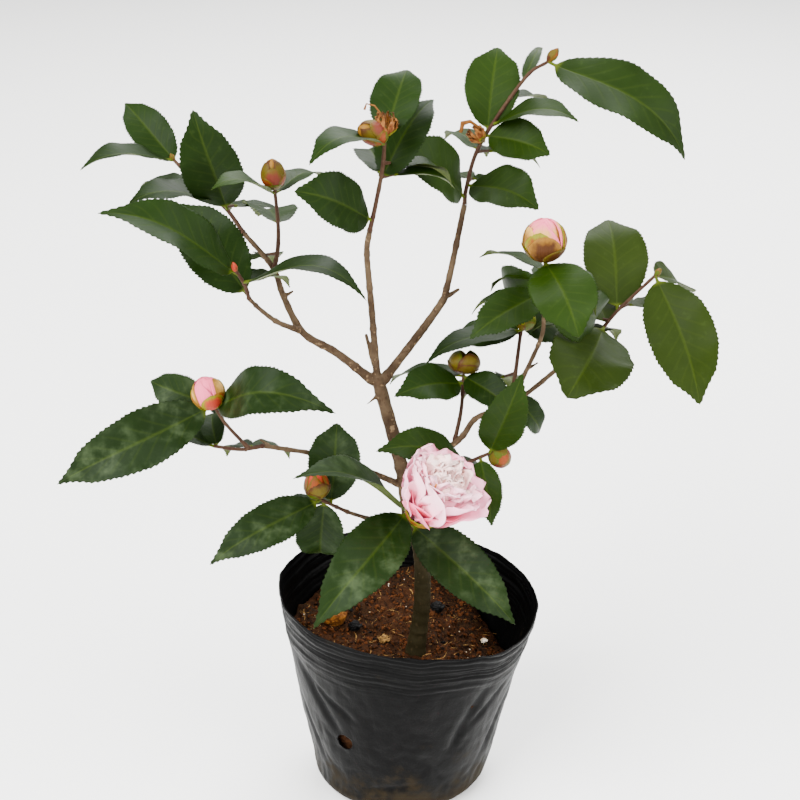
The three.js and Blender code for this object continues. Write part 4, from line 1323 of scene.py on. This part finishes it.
leaf_tree = make_blade_tree("camellia-leaf", list(LEAF), LEAF_SIDES, LEAF_ROWS, leaf_rule)
under_finish = make_under_finish()
leaf_finishes = {tone: make_leaf_finish("leaf-" + tone, *parts) for tone, parts in LEAF_TONES.items()}
for spray_name, carried in stems.items():
    blades = [place_leaf(limb, leaf, key) for limb, leaf, key in carried["leaves"]]
    # each spray's leaves take its tone, with the painted shade or painted light in it
    sizes = {**LEAF, "Finish": leaf_finishes[SPRAY_TONES[spray_name]], "Second Finish": under_finish}
    leaves = keep_as("leaves-" + spray_name, start_from(leaf_tree, sizes, blade_starts(spray_name, blades)))
    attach(leaves, "root")
    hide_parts("bloom-spray" if spray_name == "bloom" else "foliage-" + spray_name)

# ---------------------------------------------------------------- buds
# Flower buds are eggs of overlapping leathery bracts, green at the foot and flushed red-brown where the
# sun reaches them, with the rolled petals showing at the top. Leaf buds are small and pointed. Two spent
# flowers and one empty, split calyx are left on their stalks.

BRACT_SIDES = 16
BRACT_ROWS = 14
BRACT = {"Bract Thickness": 0.00045}
BRACT_GREEN = colour(60, 70, 8)
BRACT_LIME = colour(108, 110, 12)
BRACT_OLIVE = colour(76, 64, 10)
BRACT_GOLD = colour(120, 82, 22)
BRACT_MAUVE = colour(92, 40, 28)
BRACT_RUST = colour(112, 50, 18)
BRACT_BROWN = colour(62, 34, 12)
BRACT_RED = colour(150, 46, 30)
BUD_PINK = colour(218, 96, 124)
BUD_CREAM = colour(190, 146, 70)
DRY_BROWN = colour(92, 48, 18)
DRY_TAN = colour(132, 84, 38)
STREAK_BROWN = (0.55, 0.42, 0.35, 1)
EGG_WIDTH = 22         # the diameter that the bracts' stand-off and parted tips are given for
# A whorl of bracts: how many, first turn, where they start and end on the egg, half angle of each, how far
# they stand off it, how much their tips stand away, centre colour, edge colour.
WHORLS = {
    "blushing": [  # nearly open, the rolled petals showing only at the top
        (1, 0, 0.02, 1.0, 180, 0.0, 0.0, BUD_CREAM, BUD_PINK),
        (3, 40, 0.25, 0.99, 62, 0.3, 0.0, BUD_CREAM, BUD_PINK),
        (2, 95, 0.08, 0.86, 60, 0.55, 0.2, BRACT_GOLD, BUD_CREAM),
        (3, -75, 0.03, 0.84, 56, 0.85, 0.0, BRACT_RUST, BRACT_LIME),
        (3, 35, 0.02, 0.78, 54, 1.1, 0.1, BRACT_BROWN, BRACT_GOLD),
        (3, -10, 0.0, 0.46, 48, 1.3, 0.3, BRACT_BROWN, BRACT_OLIVE)],
    "rosy": [  # rosier, with a red bract over its front
        (1, 0, 0.02, 1.0, 180, 0.0, 0.0, BUD_PINK, BUD_PINK),
        (3, 20, 0.25, 0.99, 64, 0.3, 0.0, BUD_PINK, BUD_PINK),
        (2, 80, 0.08, 0.90, 56, 0.55, 0.2, BUD_CREAM, BRACT_GOLD),
        (3, -50, 0.03, 0.64, 50, 0.85, 0.2, BRACT_RED, BRACT_GOLD),
        (3, -22, 0.02, 0.66, 50, 1.1, 0.1, BRACT_RED, BRACT_LIME),
        (3, 55, 0.0, 0.22, 46, 1.3, 0.4, BRACT_OLIVE, BRACT_LIME)],
    "capped": [  # still closed, each bract flushed brown in the middle
        (1, 0, 0.02, 1.0, 180, 0.0, 0.0, BRACT_OLIVE, BRACT_GOLD),
        (3, 60, 0.20, 0.99, 66, 0.3, 0.0, BRACT_OLIVE, BRACT_BROWN),
        (3, 0, 0.10, 0.84, 60, 0.55, 0.1, BRACT_MAUVE, BRACT_OLIVE),
        (3, -70, 0.03, 0.56, 56, 0.8, 0.1, BRACT_RUST, BRACT_OLIVE),
        (3, -10, 0.01, 0.34, 52, 1.0, 0.2, BRACT_OLIVE, BRACT_GREEN),
        (3, 50, 0.0, 0.20, 46, 1.2, 0.2, BRACT_GREEN, BRACT_OLIVE)],
    "banded": [  # olive below, a red band of petals above
        (1, 0, 0.02, 1.0, 180, 0.0, 0.0, BRACT_RUST, BRACT_RED),
        (4, 20, 0.20, 0.99, 46, 0.3, 0.0, BRACT_RUST, BRACT_OLIVE),
        (3, 0, 0.06, 0.78, 70, 0.6, 0.0, BRACT_OLIVE, BRACT_BROWN),
        (3, 60, 0.03, 0.50, 58, 0.8, 0.1, BRACT_GREEN, BRACT_BROWN),
        (3, 50, 0.0, 0.30, 50, 1.0, 0.1, BRACT_OLIVE, BRACT_GREEN)],
    "green": [
        (1, 0, 0.02, 1.0, 180, 0.0, 0.0, BRACT_LIME, BRACT_GREEN),
        (3, 20, 0.15, 0.97, 64, 0.3, 0.0, BRACT_LIME, BRACT_GREEN),
        (3, 80, 0.05, 0.74, 58, 0.6, 0.2, BRACT_GREEN, BRACT_LIME),
        (3, -40, 0.02, 0.46, 52, 0.9, 0.3, BRACT_GREEN, BRACT_OLIVE),
        (3, 30, 0.0, 0.24, 46, 1.1, 0.3, BRACT_OLIVE, BRACT_BROWN)],
    "leaf bud": [
        (1, 0, 0.02, 1.0, 180, 0.0, 0.0, BRACT_OLIVE, BRACT_GREEN),
        (2, 30, 0.10, 0.99, 70, 0.1, 0.1, BRACT_OLIVE, BRACT_RUST),
        (2, 120, 0.04, 0.75, 66, 0.2, 0.2, BRACT_GREEN, BRACT_RUST),
        (2, 40, 0.0, 0.42, 60, 0.3, 0.2, BRACT_BROWN, BRACT_OLIVE)],
    "red bud": [
        (1, 0, 0.02, 1.0, 180, 0.0, 0.0, BRACT_RED, BRACT_RED),
        (2, 30, 0.06, 0.99, 72, 0.1, 0.1, BRACT_RED, BRACT_RUST),
        (2, 120, 0.0, 0.5, 66, 0.2, 0.2, BRACT_RUST, BRACT_BROWN)],
    "split": [  # an empty calyx that gapes towards the front
        (2, 55, 0.05, 0.96, 58, 0.0, 0.3, BRACT_OLIVE, BRACT_GREEN),
        (2, 150, 0.03, 0.90, 54, 0.3, 0.5, BRACT_OLIVE, BRACT_BROWN),
        (3, -20, 0.0, 0.50, 52, 0.7, 0.2, BRACT_OLIVE, BRACT_BROWN),
        (3, 35, 0.0, 0.25, 46, 0.9, 0.2, BRACT_BROWN, BRACT_OLIVE)],
    "spent": [  # petals shrunk to brown paper in their old calyx
        (6, 10, 0.05, 1.0, 17, -1.6, 3.4, DRY_TAN, BRACT_BROWN),
        (5, 40, 0.02, 0.8, 20, -0.6, 3.0, DRY_BROWN, DRY_TAN),
        (4, 0, 0.02, 0.55, 30, 0.2, 1.6, DRY_TAN, DRY_BROWN),
        (4, 30, 0.0, 0.34, 46, 0.5, 0.4, BRACT_OLIVE, BRACT_LIME)],
}
# Each spray's buds in order: kind, how pointed the top is, how narrow the foot is, turn of its whorls.
BUD_KINDS = {
    "far-left": [("red bud", 1.0, 0.3, 0)],
    "left-bud": [("capped", 0.5, 0.2, 0)],
    "rear-left": [("leaf bud", 1.0, 0.3, 40)],
    "top-centre": [("capped", 0.1, 0.1, 50), ("spent", 0.0, 0.2, 0)],
    "upper-right": [("leaf bud", 1.0, 0.6, 0), ("spent", 0.0, 0.3, 50)],
    "right-end": [("leaf bud", 1.0, 0.4, 90)],
    "right-bud": [("blushing", 0.0, 0.1, 25)],
    "middle-bud": [("green", 0.1, 0.1, 0)],
    "open-bud": [("split", 0.0, 0.0, 0)],
    "behind-bloom": [("capped", 0.0, 0.2, 30)],
    "low-front": [("banded", 0.0, 0.7, 20)],
    "lower-left": [("rosy", 0.1, 0.1, -10)],
}
# What is left of the middle of a spent flower: its spray, which bud, and the strand as steps from the bud's
# foot, each with its radius.
SPENT_STYLES = [
    ("top-centre", 1, [(0, 0, 5, 0.6), (-2, -1, 11, 0.5), (-5, -1, 15, 0.4), (-9, -1, 16, 0.4),
                       (-10, -1, 13, 0.7)]),
    ("upper-right", 1, [(0, 0, 3, 0.7), (-3, -1, 8, 0.8), (-7, -2, 11, 1.0), (-11, -2, 10, 1.5),
                        (-12, -2, 5, 0.9)]),
]
STYLE_SIDES = 8


def bract_rule(tree, given, t, x, z):
    """A patch of an egg: `patch` is its turn and its ends, `hold` its spread, stand-off and parted tip."""
    length, radius, key = split(tree, named_vector(tree, "size"))
    turn, start, end = split(tree, named_vector(tree, "patch"))
    spread, stand, cup = split(tree, named_vector(tree, "hold"))
    point, neck, crumple = split(tree, named_vector(tree, "form"))
    # s runs up the egg, whose outline is rounder below and, on a pointed bud, sharper above
    s = start + (end - start) * t
    upper = step_up(s, 0.499, 0.501)
    power = 0.5 + point * 0.28 * upper + neck * 0.9 * (1.0 - upper)
    middle = greater(1.0 - (s * 2.0 - 1.0) ** 2.0, 0.0001)
    profile = radius * middle ** power * (1.0 - greater(s * 2.0 - 1.0, 0.0) * 0.12)
    # a bract that goes all the way round is the bud's core, and stands on the egg itself
    whole = step_up(spread, 3.0, 3.1)
    rounded = (1.0 - t ** 3.2 * (1.0 - whole)) ** 0.5
    angle = turn + x * spread * rounded
    edge_thin = 1.0 - size_of(x) ** 6.0 * 0.5
    creased = sway_at(tree, join(tree, angle * 1.3 + key, s * 3.0 + key, t), 2.4, 2.0)
    out = (profile + stand * (1.0 - whole) * middle ** 0.3 + cup * t * t
           + z * given["Bract Thickness"] * 0.5 * edge_thin + creased * crumple)
    return length * s + creased * crumple * 1.2, sine(angle) * out, cosine(angle) * out


def side_axis(along, turn):
    """A direction square to `along`, turned round it."""
    first = Vector((0, -1, 0)) - along * -along.y
    if first.length < 0.2:
        first = Vector((1, 0, 0)) - along * along.x
    first.normalize()
    return first * math.cos(turn) + along.cross(first) * math.sin(turn)


def bud_bracts(foot, along, length, diameter, kind, point, neck, turn):
    """Every bract of one bud, whorl by whorl from the inside out."""
    over = side_axis(along, math.radians(turn))
    scale = diameter / EGG_WIDTH
    bracts = []
    for count, first, start, end, spread, stand, cup, middle_colour, edge_colour in WHORLS[kind]:
        for k in range(count):
            key = len(bracts) * 0.37 + length
            jog = 16 * (chance(key) - 0.5) if count > 1 else 0
            bracts.append({
                "foot": foot * MM, "along": along, "over": over,
                "size": (length * MM, diameter / 2 * MM - 0.0009 * scale, key),
                "patch": (math.radians(first + jog + 360 * k / count), start, end),
                "hold": (math.radians(spread), stand * scale * MM, cup * scale * MM),
                "form": (point, neck, 0.0050 if kind == "spent" else 0.0003 * scale),
                "middle_colour": middle_colour[:3], "edge_colour": edge_colour[:3],
            })
    return bracts


def make_bract_finish():
    finish, tree, shader = new_finish("bract-skin", Roughness=0.46, Specular_IOR_Level=0.1)
    t, x = (Term(tree, part) for part in written_on(tree, ("t", "x"), "Fac"))
    middle_colour, edge_colour = written_on(tree, ("middle_colour", "edge_colour"), "Color")
    place = own_place(tree)
    cloud = noise_at(tree, place, 330.0, 3.0, 0.6)
    rim = greater(size_of(x), step_up(t, 0.50, 1.05))
    to_edge = step_up(rim + (cloud - 0.5) * 0.6, 0.40, 1.0)
    skin = tint(tree, to_edge, middle_colour, edge_colour)
    streaks = noise_at(tree, join(tree, x * 9.0, t * 1.2, cloud * 0.4), 2.5, 2.0)
    deeper = put(tree, "ShaderNodeMix", {0: step_up(streaks, 0.45, 0.75) * 0.35, 6: skin, 7: STREAK_BROWN},
                 data_type="RGBA", blend_type="MULTIPLY")
    feed(tree, shader, "Base Color", deeper.outputs[2])
    raise_by(tree, shader, streaks + cloud * 0.5, 0.0003, 0.5)
    return finish


bract_tree = make_blade_tree("bud-bract", list(BRACT), BRACT_SIDES, BRACT_ROWS, bract_rule)
bract_finish = make_bract_finish()
bracts = []
for spray_name, kinds in BUD_KINDS.items():
    for (stem, bud), (kind, point, neck, turn) in zip(stems[spray_name]["buds"], kinds):
        at, bearing, rise, length, diameter = bud
        along = heading(bearing, rise)
        bracts += bud_bracts(stem.place(at) - along, along, length, diameter, kind, point, neck, turn)
bract_sizes = {**BRACT, "Finish": bract_finish, "Second Finish": bract_finish}
buds = keep_as("buds", start_from(bract_tree, bract_sizes, blade_starts("buds", bracts)))
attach(buds, "root")

strands = []
for spray_name, which, steps in SPENT_STYLES:
    stem, bud = stems[spray_name]["buds"][which]
    strands.append([(stem.place(bud[0]) + Vector(step[:3]), step[3]) for step in steps])
dry_finish, dry_tree, dry_shader = new_finish("dry-petal", Roughness=0.8, Specular_IOR_Level=0.08)
dry_cloud = noise_at(dry_tree, own_place(dry_tree), 420.0, 3.0, 0.6)
feed(dry_tree, dry_shader, "Base Color", tint(dry_tree, dry_cloud, BRACT_BROWN, DRY_TAN))
raise_by(dry_tree, dry_shader, dry_cloud, 0.0006, 0.8)
style_sizes = {"Sides": STYLE_SIDES, "Finish": dry_finish}
styles = keep_as("spent-styles", start_from(sweep_tree, style_sizes, wood_curve("spent-lines", strands)))
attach(styles, "root")

# ---------------------------------------------------------------- bloom
# One open flower of loose peony form, held on a short bent neck: broad cupped guard petals outside, a
# crowded heart of smaller crumpled petals, and a few stamens caught among them. Its calyx is still on.

BLOOM_NECK = (-33, 55, 30)
BLOOM_FACING = (-35, 55)
BLOOM_DEPTH = 27.0
PETAL_SIDES = 22
PETAL_ROWS = 22
PETAL = {"Petal Thickness": 0.00035}
PETAL_PINK = colour(255, 182, 206)
PETAL_ROSE = colour(244, 112, 148)
PETAL_WHITE = colour(255, 222, 216)
PETAL_SHELL = colour(255, 198, 212)
STAMEN_GOLD = colour(176, 104, 12)
# Guard petals: turn round the flower, rise from its face, length, width, ruffle, foot and edge colours.
# The first three, low in front, stay closed and rosy; the two broad ones above them stand straighter.
GUARDS = [
    (-42, 50, 25, 28, 0.05, PETAL_ROSE, PETAL_ROSE), (4, 53, 25, 31, 0.05, PETAL_ROSE, PETAL_ROSE),
    (44, 50, 27, 28, 0.05, PETAL_ROSE, PETAL_ROSE),
    (-54, 68, 38, 38, 0.12, PETAL_PINK, PETAL_SHELL), (10, 79, 33, 38, 0.12, PETAL_PINK, PETAL_SHELL),
    (60, 58, 39, 31, 0.20, PETAL_PINK, PETAL_PINK),
    (95, 46, 41, 31, 0.30, PETAL_PINK, PETAL_PINK), (138, 48, 40, 31, 0.30, PETAL_PINK, PETAL_PINK),
    (180, 51, 40, 32, 0.26, PETAL_PINK, PETAL_PINK), (224, 50, 40, 34, 0.26, PETAL_PINK, PETAL_PINK),
    (266, 52, 35, 31, 0.24, PETAL_PINK, PETAL_PINK),
]
GUARD_BEND = (0.35, 0.20, 0.12)
HEART_TILT = 0.22
# Rows inside the guards: how many, first turn, turn between, rise, foot's distance from the middle, length,
# width, cup along, cup across, curled tip, ruffle, foot and edge colours.
PETAL_ROWS_OF = [
    (6, 30, 60, 64, 2.5, 36, 27, 0.25, 0.16, 0.18, 0.36, PETAL_PINK, PETAL_SHELL),
    (8, 10, 45, 70, 3.0, 36, 22, 0.20, 0.18, 0.14, 0.46, PETAL_SHELL, PETAL_SHELL),
]
HEART = {"count": 34, "near": 64, "far": 89, "length": 34, "more": 7, "width": 15, "wider": 10}
GOLDEN_TURN = 137.5    # the turn from each petal of the heart to the next
STAMENS = {"count": 3, "length": 36, "radius": 0.22, "anther": 2.6, "turn": -50, "fan": 7, "steps": 9,
           "sides": 6}
STAMEN_BROWN = colour(140, 78, 14)
# Whorls of the calyx: how many, first turn, turn between, end, half angle, stand-off, centre and edge
# colours.
CALYX = [
    (2, -84, 46, 0.46, 30, 1.1, BRACT_RUST, BRACT_GOLD),
    (2, -60, 44, 0.34, 26, 1.6, BRACT_GOLD, BRACT_LIME),
    (2, 8, 44, 0.26, 34, 1.4, BRACT_RUST, BRACT_LIME),
    (5, 72, 50, 0.20, 34, 0.6, BRACT_GREEN, BRACT_RUST),
    (4, 15, 90, 0.18, 50, 1.2, BRACT_GREEN, BRACT_OLIVE),
]
CALYX_SIZE = (0.036, 0.0105)
NECK_STEPS = 13
NECK_RADIUS = 0.9


def petal_rule(tree, given, t, x, z):
    """A petal: broad above a narrow foot, cupped along and across, notched, ruffled and crumpled."""
    length, width, key = split(tree, named_vector(tree, "size"))
    cup, dish, curl = split(tree, named_vector(tree, "curve"))
    ruffle, notch, twist = split(tree, named_vector(tree, "form"))
    broad = sine(lesser(t ** 1.35, 0.9999) * HALF_TURN) ** 0.52
    half = greater(width * 0.5 * broad, 0.0008 * (1.0 - t))
    reach = x * half / (width * 0.5)
    notched = 1.0 - notch * bell(reach, 0.22) * step_up(t, 0.7, 1.0)
    notched = notched + sine(reach * 8.0 + key * 4.0) * ruffle * 0.13 * step_up(t, 0.4, 1.0)
    # bent along an arc, then dished, curled back at the tip, rippled and crumpled
    swing = twist * t * 2.0
    bend = cup * t
    onward = sine(bend) / cup * length * notched
    rise = (1.0 - cosine(bend)) / cup * length
    ripple = sine(reach * 7.5 + key * 5.0 + t * 3.0) * t * t + sine(reach * 15.0 + key * 3.0) * t ** 3.0 * 0.5
    crumpled = sway_at(tree, join(tree, x * 1.6 + key * 3.0, t * 2.2, key), 1.5, 2.0)
    lift = (rise + dish * x * x * half - curl * t ** 4.0 * length + ripple * ruffle * half * 0.6
            + crumpled * ruffle * length * 0.8 + z * given["Petal Thickness"] * 0.5)
    turned_x = x * half
    aside = turned_x * cosine(swing) - lift * sine(swing) * 0.4
    lifted = lift + turned_x * sine(swing)
    return onward, aside, lifted


def place_petal(middle, facing, turn, rise, off, length, width, curve, form, key, colours):
    """Where one petal starts and how it lies: `rise` from the flower's face, `off` from its middle."""
    radial = side_axis(facing, math.radians(turn))
    tilt = math.radians(rise)
    return {
        "foot": (middle + radial * off - facing * BLOOM_DEPTH) * MM,
        "along": radial * math.cos(tilt) + facing * math.sin(tilt),
        "over": facing * math.cos(tilt) - radial * math.sin(tilt),
        "size": (length * MM, width * MM, key),
        "curve": curve, "form": form,
        "middle_colour": colours[0][:3], "edge_colour": colours[1][:3],
    }


def make_petal_finish():
    finish, tree, shader = new_finish("petal", Roughness=0.55, Specular_IOR_Level=0.12, Sheen_Weight=0.15)
    t, x = (Term(tree, part) for part in written_on(tree, ("t", "x"), "Fac"))
    foot_colour, edge_colour = written_on(tree, ("middle_colour", "edge_colour"), "Color")
    cloud = noise_at(tree, own_place(tree), 160.0, 3.0, 0.55)
    skin = tint(tree, step_up(t + (cloud - 0.5) * 0.5, 0.25, 0.85), foot_colour, edge_colour)
    lines = noise_at(tree, join(tree, x * 14.0, t * 1.5, cloud * 0.3), 2.0, 2.0)
    skin = tint(tree, step_up(lines, 0.5, 0.8) * 0.16, skin, PETAL_ROSE)
    feed(tree, shader, "Base Color", skin)
    raise_by(tree, shader, lines + cloud, 0.0003, 0.4)
    return finish


bloom_stem = stems["bloom"]["stem"]
stem_tip = bloom_stem.place(1)
bloom_middle = stem_tip + heading(*BLOOM_NECK[:2]) * BLOOM_NECK[2]
facing = heading(*BLOOM_FACING)
bloom_foot = bloom_middle - facing * (BLOOM_DEPTH + 3)

heart_facing = (facing - side_axis(facing, 0.0) * HEART_TILT).normalized()
heart_middle = bloom_middle + (heart_facing - facing) * BLOOM_DEPTH

petals = []
for turn, rise, length, width, ruffle, foot_colour, edge_colour in GUARDS:
    key = len(petals) + 1.3
    petals.append(place_petal(
        bloom_middle, facing, turn, rise, 2.0, length, width, GUARD_BEND,
        (ruffle, 0.10 * chance(key + 0.9), 0.3 * (chance(key + 0.7) - 0.5)), chance(key) * 9,
        (foot_colour, edge_colour)))
for (count, first, step, rise, off, length, width, cup, dish, curl, ruffle, foot_colour,
     edge_colour) in PETAL_ROWS_OF:
    for k in range(count):
        key = len(petals) + 1.3
        grow = 0.90 + 0.2 * chance(key)
        petals.append(place_petal(
            heart_middle, heart_facing, first + step * k + 14 * (chance(key + 0.2) - 0.5),
            rise + 10 * (chance(key + 0.4) - 0.5), off, length * grow, width * grow,
            (cup * (0.8 + 0.4 * chance(key + 0.6)), dish, curl),
            (ruffle, 0.10 * chance(key + 0.9), 0.3 * (chance(key + 0.7) - 0.5)), chance(key) * 9,
            (foot_colour, edge_colour)))
for k in range(HEART["count"]):
    key = k + 60.0
    share = (k + 0.5) / HEART["count"]
    rise = HEART["near"] + (HEART["far"] - HEART["near"]) * math.sqrt(share)
    petals.append(place_petal(
        heart_middle, heart_facing, GOLDEN_TURN * k, rise + 8 * (chance(key) - 0.5), 4.0 * (1 - share) + 1.0,
        HEART["length"] + HEART["more"] * chance(key + 0.2),
        HEART["width"] + HEART["wider"] * chance(key + 0.4),
        (0.3 + 0.9 * chance(key + 0.1), 0.45 * chance(key + 0.5), 0.1 * (chance(key + 0.3) - 0.5)),
        (0.42, 0.15, 0.7 * (chance(key + 0.8) - 0.5)), chance(key + 0.6) * 9,
        (PETAL_SHELL, PETAL_WHITE)))
petal_tree = make_blade_tree("camellia-petal", list(PETAL), PETAL_SIDES, PETAL_ROWS, petal_rule)
petal_finish = make_petal_finish()
petal_sizes = {**PETAL, "Finish": petal_finish, "Second Finish": petal_finish}
bloom = keep_as("bloom-petals", start_from(petal_tree, petal_sizes, blade_starts("petals", petals)))
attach(bloom, "root")

calyx_bracts = []
for count, first, step, end, spread, stand, middle_colour, edge_colour in CALYX:
    for k in range(count):
        calyx_bracts.append({
            "foot": bloom_foot * MM, "along": facing, "over": side_axis(facing, 0.0),
            "size": (*CALYX_SIZE, k * 1.0),
            "patch": (math.radians(first + step * k), 0.0, end),
            "hold": (math.radians(spread), stand * MM, 0.0004),
            "form": (0.0, 0.0, 0.0005),
            "middle_colour": middle_colour[:3], "edge_colour": edge_colour[:3],
        })
calyx = keep_as("bloom-calyx", start_from(bract_tree, bract_sizes, blade_starts("calyx", calyx_bracts)))
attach(calyx, "root")

last_leg = SPRAYS["bloom"]["stem"][2][-1]
neck_line = [(stem_tip - heading(*last_leg[:2]) * 3, NECK_RADIUS)]
neck_bend = stem_tip - facing * 2
for k in range(NECK_STEPS):
    share = k / (NECK_STEPS - 1)
    neck_line.append((stem_tip * (1 - share) ** 2 + neck_bend * (2 * share * (1 - share))
                      + bloom_foot * share ** 2, NECK_RADIUS * (1 + share ** 3)))
bloom_neck = keep_as("bloom-neck", start_from(sweep_tree, twig_sizes, wood_curve("neck-line", [neck_line])))
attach(bloom_neck, "root")

stamen_lines = []
for k in range(STAMENS["count"]):
    turn = math.radians(STAMENS["turn"] + STAMENS["fan"] * k)
    radial = side_axis(facing, turn)
    lean = 0.25 + 0.12 * chance(k + 5.0)
    strand = []
    for step in range(STAMENS["steps"]):
        share = step / (STAMENS["steps"] - 1)
        reach = STAMENS["length"] * (0.86 + 0.14 * chance(k + 8.0)) * share
        thicker = STAMENS["anther"] if step >= STAMENS["steps"] - 2 else 1
        strand.append((bloom_middle - facing * BLOOM_DEPTH + facing * reach
                       + radial * (reach * lean + 2 * share ** 2), STAMENS["radius"] * thicker))
    stamen_lines.append(strand)
stamen_finish, stamen_tree, stamen_shader = new_finish("stamen-gold", Roughness=0.7)
feed(stamen_tree, stamen_shader, "Base Color",
     tint(stamen_tree, noise_at(stamen_tree, own_place(stamen_tree), 600.0), STAMEN_GOLD, STAMEN_BROWN))
stamens = keep_as("bloom-stamens", start_from(
    sweep_tree, {"Sides": STAMENS["sides"], "Finish": stamen_finish},
    wood_curve("stamen-lines", stamen_lines)))
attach(stamens, "root")

# ---------------------------------------------------------------- finish

bpy.context.view_layer.update()
